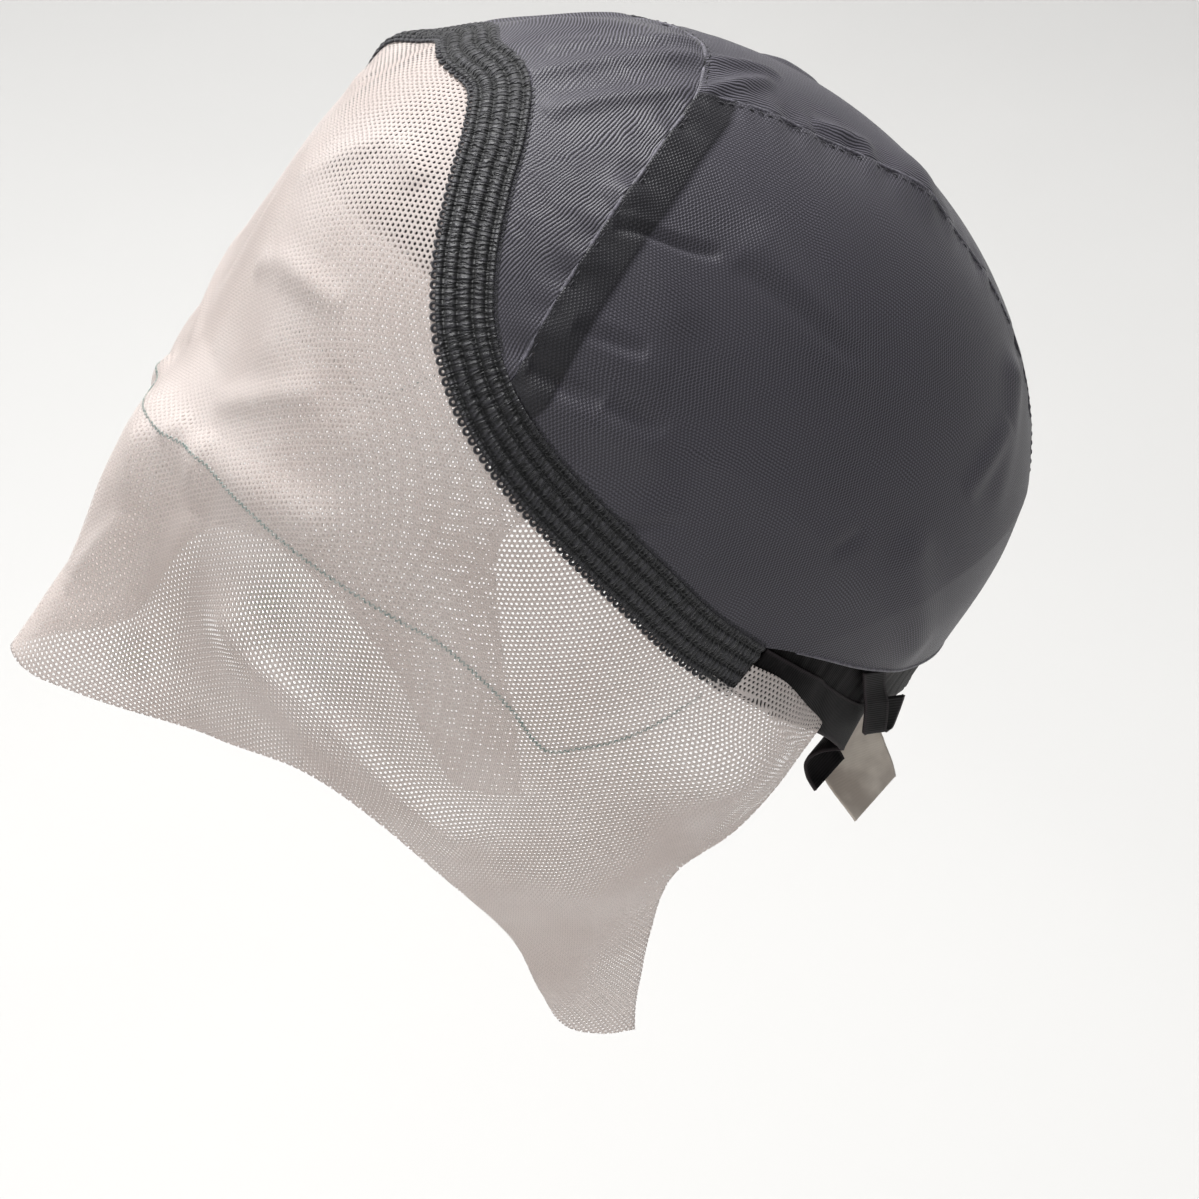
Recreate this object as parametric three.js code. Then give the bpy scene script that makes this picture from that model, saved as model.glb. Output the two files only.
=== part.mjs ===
// Wig cap with a full lace front, shaped as it is worn.
//
// Frame: millimetres. X is the wearer's left, Y is the back of the head, Z is up. The origin is
// the head seat, the point where the inside of the crown rests on top of a head.
//
// Every panel lies on one smooth head form. A guide point near the form is pushed out to it:
// above the form's centre along a ray from that centre, below it level with the guide point.
// Folds and gathers are a stand-off added to the form, so that neighbouring panels share them.
// Each panel is a Coons patch between four edge curves, given a wall of cloth outside the form.

import * as THREE from 'three';

// ---- driving dimensions -------------------------------------------------------------------
const CROWN_RISE = 111.5;      // height of the dome from the form's centre to the head seat
const DOME_POWER = 1.9;        // 2 is an ellipsoid; less gives a more pointed crown
const CENTRE_Z = -CROWN_RISE;  // level of the widest section
const SEAM_GAP = 0.7;          // clearance between neighbouring pieces
const LACE_GAP = 1.1;          // and between the lace and the band
const NET_WALL = 1.2;          // stretch net of the cap panels
const LACE_WALL = 1.0;         // fine lace
const BAND_WALL = 1.6;         // stretch lace band
const BAND_WIDTH = 11.5;
const CENTRE_HALF_WIDTH = 20;  // half of the centre panel
const NAPE_WIDTH = 10.5;       // elastic binding round the nape
const NAPE_WALL = 1.6;
const NAPE_TUCK = 1.3;         // how far it reaches up under the edge of the panels
const STRAP_WIDTH = 11.5;      // adjustable elastic strap
const STRAP_WALL = 1.0;
const TAB_WIDTH = 8;           // short tab beside each strap
const LABEL_WIDTH = 18;
const LABEL_WALL = 1.0;

// Layers at the nape: how far the inner face of each piece stands off the form.
const BINDING_LIFT = -NAPE_WALL - 1.4;
const STRAP_LIFT = 0.1;        // straps and tabs lie outside the binding
const LABEL_LIFT = BINDING_LIFT - 1.3 - LABEL_WALL;

// Level sections of the form: half axes to the side, front and back, and the corner power.
const SECTIONS = [
  { z: -250, side: 47, front: 47, back: 52, power: 2.0 },
  { z: -225, side: 49, front: 48, back: 56, power: 2.0 },
  { z: -195, side: 60, front: 54, back: 68, power: 2.0 },
  { z: -165, side: 71, front: 82, back: 87, power: 1.9 },
  { z: -140, side: 76, front: 93, back: 107, power: 1.8 },
  { z: -125, side: 77, front: 90, back: 113, power: 1.95 },
  { z: CENTRE_Z, side: 77, front: 88, back: 116, power: 2.05 },
];

// The lace tents forward over brow and nose: how far it stands off along the middle line.
const TENT_WIDTH = 13;
const TENT = [
  { z: -150, out: 32 },
  { z: -131, out: 29 },
  { z: -121, out: 24 },
  { z: -106, out: 15.5 },
  { z: -90, out: 11 },
  { z: -78, out: 8 },
  { z: -70, out: 3 },
  { z: -60, out: 0 },
];

// Round swellings and dents: centre, height and spread, on one side or on both.
const LEFT = [1];
const RIGHT = [-1];
const BOTH = [1, -1];
const SWELLINGS = [
  { x: 79, y: 20, z: -138, out: 10, spread: 16, sides: BOTH },  // lace over the ear
  { x: 16, y: 80, z: -37, out: 2.5, spread: 9, sides: LEFT },   // gather at the back of the crown
  { x: 20, y: 56, z: -22, out: -1.5, spread: 12, sides: LEFT }, // dimple before it
  { x: 22, y: -68, z: -52, out: -5, spread: 34, sides: BOTH },  // lace taut over the forehead
  { x: 30, y: -46, z: -32, out: -2.4, spread: 18, sides: RIGHT }, // and more so at its right
  { x: 28, y: -23, z: -12, out: 3.2, spread: 8, sides: RIGHT }, // band bunched over the crown
  { x: 18, y: 6, z: -3, out: -1.3, spread: 15, sides: RIGHT },  // crown pressed flat
];

// Long folds: from one end to the other, height and half width.
const FOLDS = [
  { from: [41, 6, -21], to: [57, 12, -36], out: 1.6, half: 5, sides: BOTH },    // side, upper
  { from: [56, -8, -38], to: [64, 4, -45], out: 1.4, half: 5, sides: LEFT },    // side, front
  { from: [61, -18, -50], to: [68, 2, -60], out: 1.5, half: 5, sides: LEFT },   // above the band
  { from: [50, 34, -29], to: [63, 51, -55], out: 1.5, half: 6, sides: BOTH },   // side, middle
  { from: [31, 98, -80], to: [43, 88, -98], out: 2.0, half: 5, sides: LEFT },   // back corner
  { from: [62, 62, -100], to: [58, 66, -125], out: 1.8, half: 6, sides: BOTH }, // over the nape
  { from: [-10, 4, -1], to: [4, 32, -6], out: 1.2, half: 5, sides: LEFT },      // crown ridge
  { from: [20, -62, -52], to: [44, -50, -62], out: 1.5, half: 6, sides: LEFT }, // forehead
  { from: [10, -88, -74], to: [50, -62, -78], out: 1.6, half: 6, sides: BOTH }, // brow
  { from: [38, -77, -108], to: [66, -38, -150], out: 2.6, half: 7, sides: BOTH }, // cheek
];
// The lace rises over the strap that lies under it.
const OVER_STRAP = [
  { from: [77, 24, -113], to: [74, 43, -133], out: 2.7, half: 10, sides: BOTH },
];

// ---- edge curves: left halves, from the middle line or the top, on or near the form ---------
const BAND_LINE = [            // middle of the stretch band, from the top to the left ear
  { x: 0, y: -14, z: -2 },
  { x: 13, y: -11.5, z: -4 },
  { x: 24, y: -15.5, z: -8 },
  { x: 33, y: -21.5, z: -16 },
  { x: 42, y: -27, z: -27 },
  { x: 50, y: -29.5, z: -38 },
  { x: 58, y: -27.5, z: -50 },
  { x: 66, y: -20.5, z: -63 },
  { x: 72.5, y: -9.5, z: -76.5 },
  { x: 75, y: 1, z: -89 },
  { x: 76, y: 11, z: -101 },
  { x: 77, y: 23, z: -112 },
];
const CROSS_SEAM = [           // seam over the crown, from the middle to the band
  { x: 0, y: 35, z: -6 },
  { x: 20, y: 28, z: -8 },
  { x: 30, y: 18, z: -12 },
  { x: 39, y: 8, z: -17 },
  { x: 47, y: -3.5, z: -25 },
  { x: 53, y: -14, z: -36 },
  { x: 57.5, y: -22, z: -46 },
];
const NAPE_LINE = [            // middle of the nape binding, from the left ear to the middle
  { x: 76.3, y: 24.2, z: -110.7 },
  { x: 75.3, y: 29.2, z: -113.2 },
  { x: 73, y: 39.2, z: -119.1 },
  { x: 68, y: 51.3, z: -127.6 },
  { x: 58, y: 65.3, z: -137.4 },
  { x: 42, y: 79.5, z: -146.5 },
  { x: 22, y: 89.7, z: -152.5 },
  { x: 0, y: 92.7, z: -155 },
];
const LONG_SEAM = [            // beside the centre panel, from the crossing seam to the nape
  { x: CENTRE_HALF_WIDTH, y: 28, z: -8 },
  { x: CENTRE_HALF_WIDTH, y: 62, z: -24 },
  { x: CENTRE_HALF_WIDTH, y: 92, z: -53 },
  { x: CENTRE_HALF_WIDTH, y: 108, z: -88 },
  { x: CENTRE_HALF_WIDTH, y: 107, z: -122 },
  { x: CENTRE_HALF_WIDTH, y: 98, z: -143 },
];
const LACE_HEM = [             // lower edge of the lace, from the left neck corner to the nose
  { x: 46.5, y: 11, z: -236 },
  { x: 48, y: 2, z: -234 },
  { x: 48.5, y: -7, z: -229 },
  { x: 51, y: -14, z: -214 },
  { x: 56.5, y: -22, z: -192 },
  { x: 61, y: -38, z: -167 },
  { x: 57.5, y: -53, z: -149 },
  { x: 49, y: -67, z: -139 },
  { x: 32, y: -82, z: -139.5 },
  { x: 20, y: -90, z: -141 },
  { x: 9, y: -114, z: -134 },
  { x: 0, y: -120, z: -130 },
];
const LACE_SIDE = [            // back edge of the lace, from the band's end to the neck corner
  { x: 76.5, y: 31, z: -116.5 },
  { x: 75.5, y: 37.5, z: -125.5 },
  { x: 74.4, y: 42.6, z: -131.7 },
  { x: 73.8, y: 43.8, z: -133.8 },
  { x: 73, y: 41.7, z: -137 },
  { x: 73.5, y: 38.2, z: -143 },
  { x: 71, y: 33, z: -150 },
  { x: 69.5, y: 25, z: -161 },
  { x: 69, y: 12, z: -170 },
  { x: 60, y: 9.5, z: -195 },
  { x: 51, y: 10.5, z: -216 },
];

// ---- the head form ------------------------------------------------------------------------

// Smooth reading of one column of a table that is sorted by z.
function column(rows, name, z) {
  let i = 0;
  while (i < rows.length - 2 && rows[i + 1].z < z) i += 1;
  const slope = (k) => {
    const a = rows[Math.max(k - 1, 0)];
    const b = rows[Math.min(k + 1, rows.length - 1)];
    return (b[name] - a[name]) / (b.z - a.z);
  };
  const a = rows[i];
  const b = rows[i + 1];
  const step = b.z - a.z;
  const t = THREE.MathUtils.clamp((z - a.z) / step, 0, 1);
  const t2 = t * t;
  const t3 = t2 * t;
  return a[name] * (2 * t3 - 3 * t2 + 1) + slope(i) * step * (t3 - 2 * t2 + t)
    + b[name] * (3 * t2 - 2 * t3) + slope(i + 1) * step * (t3 - t2);
}

function swelling(point) {
  let out = 0;
  for (const s of SWELLINGS) {
    for (const side of s.sides) {
      const d = Math.hypot(side * point.x - s.x, point.y - s.y, point.z - s.z);
      out += s.out * Math.exp(-((d / s.spread) ** 2));
    }
  }
  return out;
}

function folding(point, rows = FOLDS) {
  let out = 0;
  const nearest = new THREE.Vector3();
  for (const f of rows) {
    const line = new THREE.Line3(new THREE.Vector3(...f.from), new THREE.Vector3(...f.to));
    for (const side of f.sides) {
      const here = new THREE.Vector3(side * point.x, point.y, point.z);
      const d = line.closestPointToPoint(here, true, nearest).distanceTo(here);
      out += f.out * Math.exp(-((d / f.half) ** 2));
    }
  }
  return out;
}

function tenting(point) {
  if (point.y > 0 || point.z > TENT[TENT.length - 1].z) return 0;
  return column(TENT, 'out', point.z) * Math.exp(-((point.x / TENT_WIDTH) ** 2));
}

// The point of the form nearest a guide point along its ray, lifted by `lift`.
function onForm(guide, lift = 0) {
  const level = Math.min(guide.z, CENTRE_Z);
  const flat = Math.hypot(guide.x, guide.y) + 1e-9;
  const power = column(SECTIONS, 'power', level);
  const depth = column(SECTIONS, guide.y < 0 ? 'front' : 'back', level);
  const sideways = Math.abs(guide.x) / flat / column(SECTIONS, 'side', level);
  const lengthways = Math.abs(guide.y) / flat / depth;
  const section = (sideways ** power + lengthways ** power) ** (-1 / power);
  const climb = Math.atan2(Math.max(guide.z - CENTRE_Z, 0), flat);
  const reach = ((Math.cos(climb) / section) ** DOME_POWER
    + (Math.sin(climb) / CROWN_RISE) ** DOME_POWER) ** (-1 / DOME_POWER);
  const outward = new THREE.Vector3(
    guide.x / flat * Math.cos(climb), guide.y / flat * Math.cos(climb), Math.sin(climb));
  const point = new THREE.Vector3(0, 0, level).addScaledVector(outward, reach);
  const standOff = swelling(point) + folding(point) + tenting(point) + lift;
  return point.addScaledVector(outward, standOff);
}

// ---- curves -------------------------------------------------------------------------------
const toVectors = (rows) => rows.map((r) => new THREE.Vector3(r.x, r.y, r.z));
const mirrored = (points) => points.map((p) => new THREE.Vector3(-p.x, p.y, p.z));

// A smooth curve through points, read by its share of length.
function curve(points) {
  const spline = new THREE.CatmullRomCurve3(points, false, 'centripetal');
  spline.arcLengthDivisions = 400;
  return (t) => spline.getPointAt(THREE.MathUtils.clamp(t, 0, 1));
}
const part = (whole, from, to) => (t) => whole(from + (to - from) * t);
const mirror = (whole) => (t) => {
  const p = whole(t);
  return new THREE.Vector3(-p.x, p.y, p.z);
};

// A whole curve from the left side over the middle to the right one.
function acrossFromMiddle(rows) {
  const left = toVectors(rows);
  return curve([...left.slice().reverse(), ...mirrored(left).slice(1)]);
}
function acrossFromSide(rows) {
  const left = toVectors(rows);
  return curve([...left, ...mirrored(left).reverse().slice(1)]);
}

// A curve that runs beside another one on the form, `aside` away from it: for a curve that runs
// from left to right, towards the back on the crown and downwards at the nape.
function beside(whole, aside) {
  const step = 0.004;
  return (t) => {
    const a = onForm(whole(Math.max(t - step, 0)));
    const b = onForm(whole(Math.min(t + step, 1)));
    const here = onForm(whole(t));
    const along = b.sub(a).normalize();
    const outward = here.clone().sub(new THREE.Vector3(0, 0, Math.min(here.z, CENTRE_Z)));
    const side = new THREE.Vector3().crossVectors(along, outward).normalize();
    return here.addScaledVector(side, aside);
  };
}

const ruled = (top, bottom) => (u, v) => top(u).lerp(bottom(u), v);

// A patch between four edges that meet at its corners: straight lines from top to bottom, bent to
// follow the left and right edges, whose shape fades out over the share `fade` of the width.
function bounded(top, bottom, left, right, fade = 1) {
  const straight = ruled(top, bottom);
  const bend = (p, edge, end, v, share) => {
    const weight = Math.max(1 - share / fade, 0) ** (fade < 1 ? 2 : 1);
    return p.addScaledVector(edge(v).sub(straight(end, v)), weight);
  };
  return (u, v) => bend(bend(straight(u, v), left, 0, v, u), right, 1, v, 1 - u);
}

// ---- solids -------------------------------------------------------------------------------

// A closed wall over a grid: `surface(u, v)` is its inner face and `wall` its thickness.
function wallOver(surface, columns, rows, wall) {
  const inner = [];
  for (let j = 0; j <= rows; j += 1) {
    for (let i = 0; i <= columns; i += 1) inner.push(surface(i / columns, j / rows));
  }
  const id = (i, j) => j * (columns + 1) + i;
  const { clamp } = THREE.MathUtils;
  const at = (i, j) => inner[id(clamp(i, 0, columns), clamp(j, 0, rows))];
  const normals = inner.map((_, k) => {
    const i = k % (columns + 1);
    const j = Math.floor(k / (columns + 1));
    const du = at(i + 1, j).clone().sub(at(i - 1, j));
    const dv = at(i, j + 1).clone().sub(at(i, j - 1));
    return du.cross(dv).normalize();
  });
  const outer = inner.map((p, k) => p.clone().addScaledVector(normals[k], wall));
  const positions = [...inner, ...outer].flatMap((p) => [p.x, p.y, p.z]);
  const lift = inner.length;
  const faces = [];
  const quad = (a, b, c, d) => faces.push(a, b, c, a, c, d);
  for (let j = 0; j < rows; j += 1) {
    for (let i = 0; i < columns; i += 1) {
      const [a, b, c, d] = [id(i, j), id(i + 1, j), id(i + 1, j + 1), id(i, j + 1)];
      quad(a + lift, b + lift, c + lift, d + lift);
      quad(a, d, c, b);
    }
  }
  for (let i = 0; i < columns; i += 1) {
    quad(id(i, 0), id(i + 1, 0), id(i + 1, 0) + lift, id(i, 0) + lift);
    quad(id(i + 1, rows), id(i, rows), id(i, rows) + lift, id(i + 1, rows) + lift);
  }
  for (let j = 0; j < rows; j += 1) {
    quad(id(0, j + 1), id(0, j), id(0, j) + lift, id(0, j + 1) + lift);
    quad(id(columns, j), id(columns, j + 1), id(columns, j + 1) + lift, id(columns, j) + lift);
  }
  const geometry = new THREE.BufferGeometry();
  geometry.setAttribute('position', new THREE.Float32BufferAttribute(positions, 3));
  geometry.setIndex(faces);
  geometry.computeVertexNormals();
  return geometry;
}

// A ribbon through stations, each with its middle, the direction across it, and how far it is
// held to the form: 1 lies on the form, `lift` off it, and 0 hangs free.
const RIBBON_ROWS = 2;
function ribbon(stations, width, wall, steps, lift) {
  const middle = curve(stations.map((s) => new THREE.Vector3(...s.at)));
  const across = new THREE.CatmullRomCurve3(stations.map((s) => new THREE.Vector3(...s.across)));
  const held = new THREE.CatmullRomCurve3(stations.map((s, i) => new THREE.Vector3(i, s.held, 0)));
  return wallOver((u, v) => {
    const free = middle(u).addScaledVector(across.getPoint(u).normalize(), (v - 0.5) * width);
    return free.lerp(onForm(free, lift), THREE.MathUtils.clamp(held.getPoint(u).y, 0, 1));
  }, steps, RIBBON_ROWS, wall);
}

// ---- pieces -------------------------------------------------------------------------------
// Faces along and across each piece, few where the cloth is plain.
const GRID = {
  band: { columns: 60, rows: 2 },
  lace: { columns: 60, rows: 19 },
  strip: { columns: 26, rows: 6 },
  side: { columns: 22, rows: 15 },
  centre: { columns: 6, rows: 26 },
  binding: { columns: 48, rows: 2 },
};
const STRAP_STEPS = 24;
const TAB_STEPS = 16;
const LABEL_STEPS = 12;

const finish = {
  lace: { color: 0xcfc6bd, roughness: 0.8 },
  net: { color: 0x4a4a50, roughness: 0.7 },
  band: { color: 0x2b2a2e, roughness: 0.8 },
  elastic: { color: 0x242226, roughness: 0.5 },
  label: { color: 0xc9c1b8, roughness: 0.6 },
};
const model = new THREE.Group();
function add(name, geometry, look) {
  const mesh = new THREE.Mesh(geometry, new THREE.MeshStandardMaterial({ metalness: 0, ...look }));
  mesh.name = name;
  model.add(mesh);
}

const bandLine = acrossFromMiddle(BAND_LINE);
const bandFront = beside(bandLine, -BAND_WIDTH / 2 - LACE_GAP);
const bandBack = beside(bandLine, BAND_WIDTH / 2 + SEAM_GAP);
const seam = acrossFromMiddle(CROSS_SEAM);
const seamFront = beside(seam, -SEAM_GAP / 2);
const seamBack = beside(seam, SEAM_GAP / 2);
const nape = acrossFromSide(NAPE_LINE);
const napeTop = beside(nape, -NAPE_WIDTH / 2 + NAPE_TUCK);
const onto = (patch) => (u, v) => onForm(patch(u, v));
const cloth = (surface, grid, wall) => wallOver(surface, grid.columns, grid.rows, wall);
const stops = (from, to, count) => Array.from(
  { length: count + 1 }, (_, i) => from + (to - from) * i / count);

// The share of a left-to-right curve's first half where it lies x to the left.
function shareAtX(whole, x) {
  let low = 0;
  let high = 0.5;
  for (let i = 0; i < 30; i += 1) {
    const middle = (low + high) / 2;
    if (whole(middle).x > x) low = middle;
    else high = middle;
  }
  return low;
}

// The long seam at a distance x from the middle, between the crossing seam and the nape.
function longSeam(x) {
  const crown = seamBack(shareAtX(seamBack, x));
  const foot = napeTop(shareAtX(napeTop, x));
  return curve([crown, ...toVectors(LONG_SEAM).map((p) => p.setX(x)), foot]);
}

// Stretch lace band from ear to ear over the crown.
const rowsBeside = (whole, width, rows, lift = 0) => {
  const lines = stops(1, -1, rows).map((k) => beside(whole, k * width / 2));
  return (u, v) => onForm(lines[Math.round(v * rows)](u), lift);
};
const bandRows = rowsBeside(bandLine, BAND_WIDTH, GRID.band.rows);
add('stretch_lace_band', cloth(bandRows, GRID.band, BAND_WALL), finish.band);

// Lace front: from the band down over forehead, nose, cheeks, ears and the sides of the neck.
// Its upper edge follows the band and turns up round the band's ends, over the straps.
const hem = acrossFromSide(LACE_HEM);
const BAND_END = 1.3;          // from the band's end to the lace
const END_RISE = 1.5;          // how far past the band's middle line the lace goes up its end
const EDGE_STEPS = 40;
function bandEnd(aside) {
  const edge = beside(bandLine, aside);
  const run = edge(0).sub(edge(0.01)).normalize();
  return edge(0).addScaledVector(run, BAND_END);
}
const endEdge = stops(END_RISE, -BAND_WIDTH / 2 - LACE_GAP, 4).map(bandEnd);
const laceTop = curve([
  ...endEdge,
  ...stops(0.01, 0.99, EDGE_STEPS).map(bandFront),
  ...mirrored(endEdge).reverse()]);
const laceSide = curve([laceTop(0), ...toVectors(LACE_SIDE), hem(0)]);
const SIDE_FADE = 0.2;
const lacePatch = bounded(laceTop, hem, laceSide, mirror(laceSide), SIDE_FADE);
const overStrap = (u, v) => {
  const guide = lacePatch(u, v);
  return onForm(guide, folding(guide, OVER_STRAP));
};
add('lace_front', cloth(overStrap, GRID.lace, LACE_WALL), finish.lace);

// Front strip between the band and the crossing seam, a crescent with blunt tips.
const seamFoot = onForm(toVectors(CROSS_SEAM.slice(-1))[0]);
const join = shareAtX(bandBack, seamFoot.x);
const TIP = 0.01;
add('front_strip', cloth(onto(ruled(
  part(seamFront, TIP, 1 - TIP),
  part(bandBack, join + TIP, 1 - join - TIP))), GRID.strip, NET_WALL), finish.net);

// Side panels between the long seam, the crossing seam, the band and the nape.
const sideSeam = longSeam(CENTRE_HALF_WIDTH + SEAM_GAP / 2);
const crownShare = shareAtX(seamBack, sideSeam(0).x);
const napeShare = shareAtX(napeTop, sideSeam(1).x);
const NAPE_END = 0.03;
const CROWN_END = 0.04;
const napeEdge = curve([...stops(napeShare, NAPE_END, 8).map(napeTop), bandBack(0)]);
const crownEdge = curve([...stops(crownShare, CROWN_END, 6).map(seamBack), bandBack(join)]);
const sidePatch = bounded((u) => sideSeam(1 - u), part(bandBack, 0, join), napeEdge, crownEdge);
const rightPatch = (u, v) => {
  const p = sidePatch(1 - u, v);
  return p.setX(-p.x);
};
add('side_panel_left', cloth(onto(sidePatch), GRID.side, NET_WALL), finish.net);
add('side_panel_right', cloth(onto(rightPatch), GRID.side, NET_WALL), finish.net);

// Centre panel from the crossing seam over the crown to the nape.
const panelSeam = longSeam(CENTRE_HALF_WIDTH - SEAM_GAP / 2);
const crownStart = shareAtX(seamBack, panelSeam(0).x);
const napeStart = shareAtX(napeTop, panelSeam(1).x);
add('centre_panel', cloth(onto(bounded(
  part(napeTop, napeStart, 1 - napeStart),
  part(seamBack, crownStart, 1 - crownStart),
  (v) => panelSeam(1 - v),
  mirror((v) => panelSeam(1 - v)))), GRID.centre, NET_WALL), finish.net);

// Elastic binding round the nape.
const bindingRows = rowsBeside(nape, NAPE_WIDTH, GRID.binding.rows, BINDING_LIFT);
add('nape_binding', cloth(bindingRows, GRID.binding, NAPE_WALL), finish.elastic);

// Adjustable straps: out from under the lace at the band's ends, over the binding, folded back on
// themselves, with a short tail.
const STRAP = [
  { at: [76.4, 23.5, -112.7], across: [-0.18, 0.68, 0.71], held: 1 },
  { at: [75, 31.7, -120.1], across: [-0.2, 0.66, 0.72], held: 1 },
  { at: [71, 43, -130.7], across: [-0.23, 0.66, 0.7], held: 0.7 },
  { at: [62.6, 54, -143.8], across: [-0.05, 0.25, 0.97], held: 0 },
  { at: [58.5, 57, -147.8], across: [0, 0.2, 0.98], held: 0 },
  { at: [55.5, 54, -150.5], across: [-0.05, 0.3, 0.95], held: 0 },
  { at: [54.5, 51, -154], across: [-0.3, 0.6, 0.7], held: 0 },
  { at: [55.5, 51, -157.5], across: [-0.5, 0.8, 0.35], held: 0 },
  { at: [57, 52.5, -161], across: [-0.55, 0.8, 0.2], held: 0 },
];
// Short tabs sewn to the binding beside the straps, turned up on themselves.
const TAB = [
  { at: [65.9, 57.2, -127.4], across: [-0.38, 0.83, -0.35], held: 1 },
  { at: [64.3, 59, -134], across: [-0.38, 0.83, -0.35], held: 0.6 },
  { at: [62.6, 60.2, -142], across: [-0.38, 0.83, -0.35], held: 0 },
  { at: [61.3, 60.8, -148], across: [-0.38, 0.83, -0.35], held: 0 },
  { at: [58.8, 63, -149], across: [-0.38, 0.83, -0.35], held: 0 },
  { at: [57, 65.2, -146], across: [-0.38, 0.83, -0.35], held: 0 },
  { at: [56.2, 66.6, -142.5], across: [-0.38, 0.83, -0.35], held: 0 },
];
const flip = (stations) => stations.slice().reverse().map((s) => ({
  at: [-s.at[0], s.at[1], s.at[2]],
  across: [-s.across[0], s.across[1], s.across[2]],
  held: s.held,
}));
for (const [side, place] of [['left', (s) => s], ['right', flip]]) {
  const strap = ribbon(place(STRAP), STRAP_WIDTH, STRAP_WALL, STRAP_STEPS, STRAP_LIFT);
  const tab = ribbon(place(TAB), TAB_WIDTH, STRAP_WALL, TAB_STEPS, STRAP_LIFT);
  add(`strap_${side}`, strap, finish.elastic);
  add(`nape_tab_${side}`, tab, finish.elastic);
}

// Blank satin label, folded double, hanging from the binding at the left of the nape.
const LABEL = [
  { at: [49, 73, -141], across: [-0.62, 0.74, -0.3], held: 1 },
  { at: [47, 67.5, -150.5], across: [-0.5, 0.8, -0.2], held: 0.7 },
  { at: [46.5, 61.5, -161], across: [-0.2, 0.97, 0.02], held: 0 },
  { at: [53.5, 66, -173.5], across: [-0.61, 0.79, 0.09], held: 0 },
];
const label = ribbon(LABEL, LABEL_WIDTH, LABEL_WALL, LABEL_STEPS, LABEL_LIFT);
add('nape_label', label, finish.label);

export default model;
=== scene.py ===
"""Wig cap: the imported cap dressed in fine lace, stretch net, stretch lace, elastic and satin.

Lengths in the tables and shape functions are millimetres in the row's frame: X is the wearer's
left, Y the back of the head, Z up, and the origin the head seat under the crown.
"""

import math

import bpy
import numpy as np
from bpy.props import FloatProperty, FloatVectorProperty, PointerProperty
from bpy.types import Operator, Panel, PropertyGroup
from mathutils import Matrix, Vector


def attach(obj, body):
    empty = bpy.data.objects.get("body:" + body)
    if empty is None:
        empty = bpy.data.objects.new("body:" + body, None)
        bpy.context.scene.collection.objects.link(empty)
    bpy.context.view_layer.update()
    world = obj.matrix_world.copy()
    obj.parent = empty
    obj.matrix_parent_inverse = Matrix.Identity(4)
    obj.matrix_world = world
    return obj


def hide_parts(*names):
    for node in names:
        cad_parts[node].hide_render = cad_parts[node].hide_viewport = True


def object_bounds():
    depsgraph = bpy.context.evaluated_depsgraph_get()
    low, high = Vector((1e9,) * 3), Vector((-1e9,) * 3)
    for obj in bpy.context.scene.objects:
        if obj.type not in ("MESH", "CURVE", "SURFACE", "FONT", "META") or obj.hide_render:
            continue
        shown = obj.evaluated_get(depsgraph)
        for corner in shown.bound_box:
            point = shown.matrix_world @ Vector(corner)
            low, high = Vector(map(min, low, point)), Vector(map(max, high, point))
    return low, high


bl_info = {
    "name": "Wig cap looks",
    "version": (1, 0, 0),
    "blender": (4, 5, 0),
    "location": "View3D > Sidebar > Wig cap",
    "description": "Dresses the packed wig cap in lace, stretch net, elastic and satin",
    "category": "Object",
}

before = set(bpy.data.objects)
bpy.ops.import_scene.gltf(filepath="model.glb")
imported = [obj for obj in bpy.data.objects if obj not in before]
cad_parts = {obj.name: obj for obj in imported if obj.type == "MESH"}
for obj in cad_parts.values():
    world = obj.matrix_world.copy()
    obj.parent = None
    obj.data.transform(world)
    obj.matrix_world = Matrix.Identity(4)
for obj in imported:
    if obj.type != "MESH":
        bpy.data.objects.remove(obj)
SIZE_AT_LOAD = [list(corner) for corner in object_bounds()]

MM = 0.001
LEFT, RIGHT, BOTH = (1,), (-1,), (1, -1)


def linear(text):
    """An sRGB hex colour as linear red, green and blue: the sRGB curve undone."""
    channels = [int(text[i : i + 2], 16) / 255 for i in (1, 3, 5)]
    return tuple(c / 12.92 if c <= 0.04045 else ((c + 0.055) / 1.055) ** 2.4 for c in channels)


def table(columns, *rows):
    """A short table: each row becomes a dict with the named columns."""
    names = columns.split()
    return [dict(zip(names, row)) for row in rows]


# ---- the head form the cap is drawn over -------------------------
CROWN_RISE = 111.5
DOME_POWER = 1.9
CENTRE_Z = -CROWN_RISE
CENTRE_HALF_WIDTH = 20
TENT_WIDTH = 13
CREASE_TAPER = 0.6

SECTIONS = table(
    "z side front back power",
    (-250, 47, 47, 52, 2.0),
    (-225, 49, 48, 56, 2.0),
    (-195, 60, 54, 68, 2.0),
    (-165, 71, 82, 87, 1.9),
    (-140, 76, 93, 107, 1.8),
    (-125, 77, 90, 113, 1.95),
    (CENTRE_Z, 77, 88, 116, 2.05),
)
TENT = table(
    "z out",
    *((-150, 32), (-131, 29), (-121, 24), (-106, 15.5), (-90, 11), (-78, 8), (-70, 3), (-60, 0)),
)
SWELLINGS = table(
    "at out spread sides",
    ((79, 20, -138), 10, 16, BOTH),
    ((16, 80, -37), 2.5, 9, LEFT),
    ((20, 56, -22), -1.5, 12, LEFT),
    ((22, -68, -52), -5, 34, BOTH),
    ((30, -46, -32), -2.4, 18, RIGHT),
    ((28, -23, -12), 3.2, 8, RIGHT),
    ((18, 6, -3), -1.3, 15, RIGHT),
)
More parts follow.
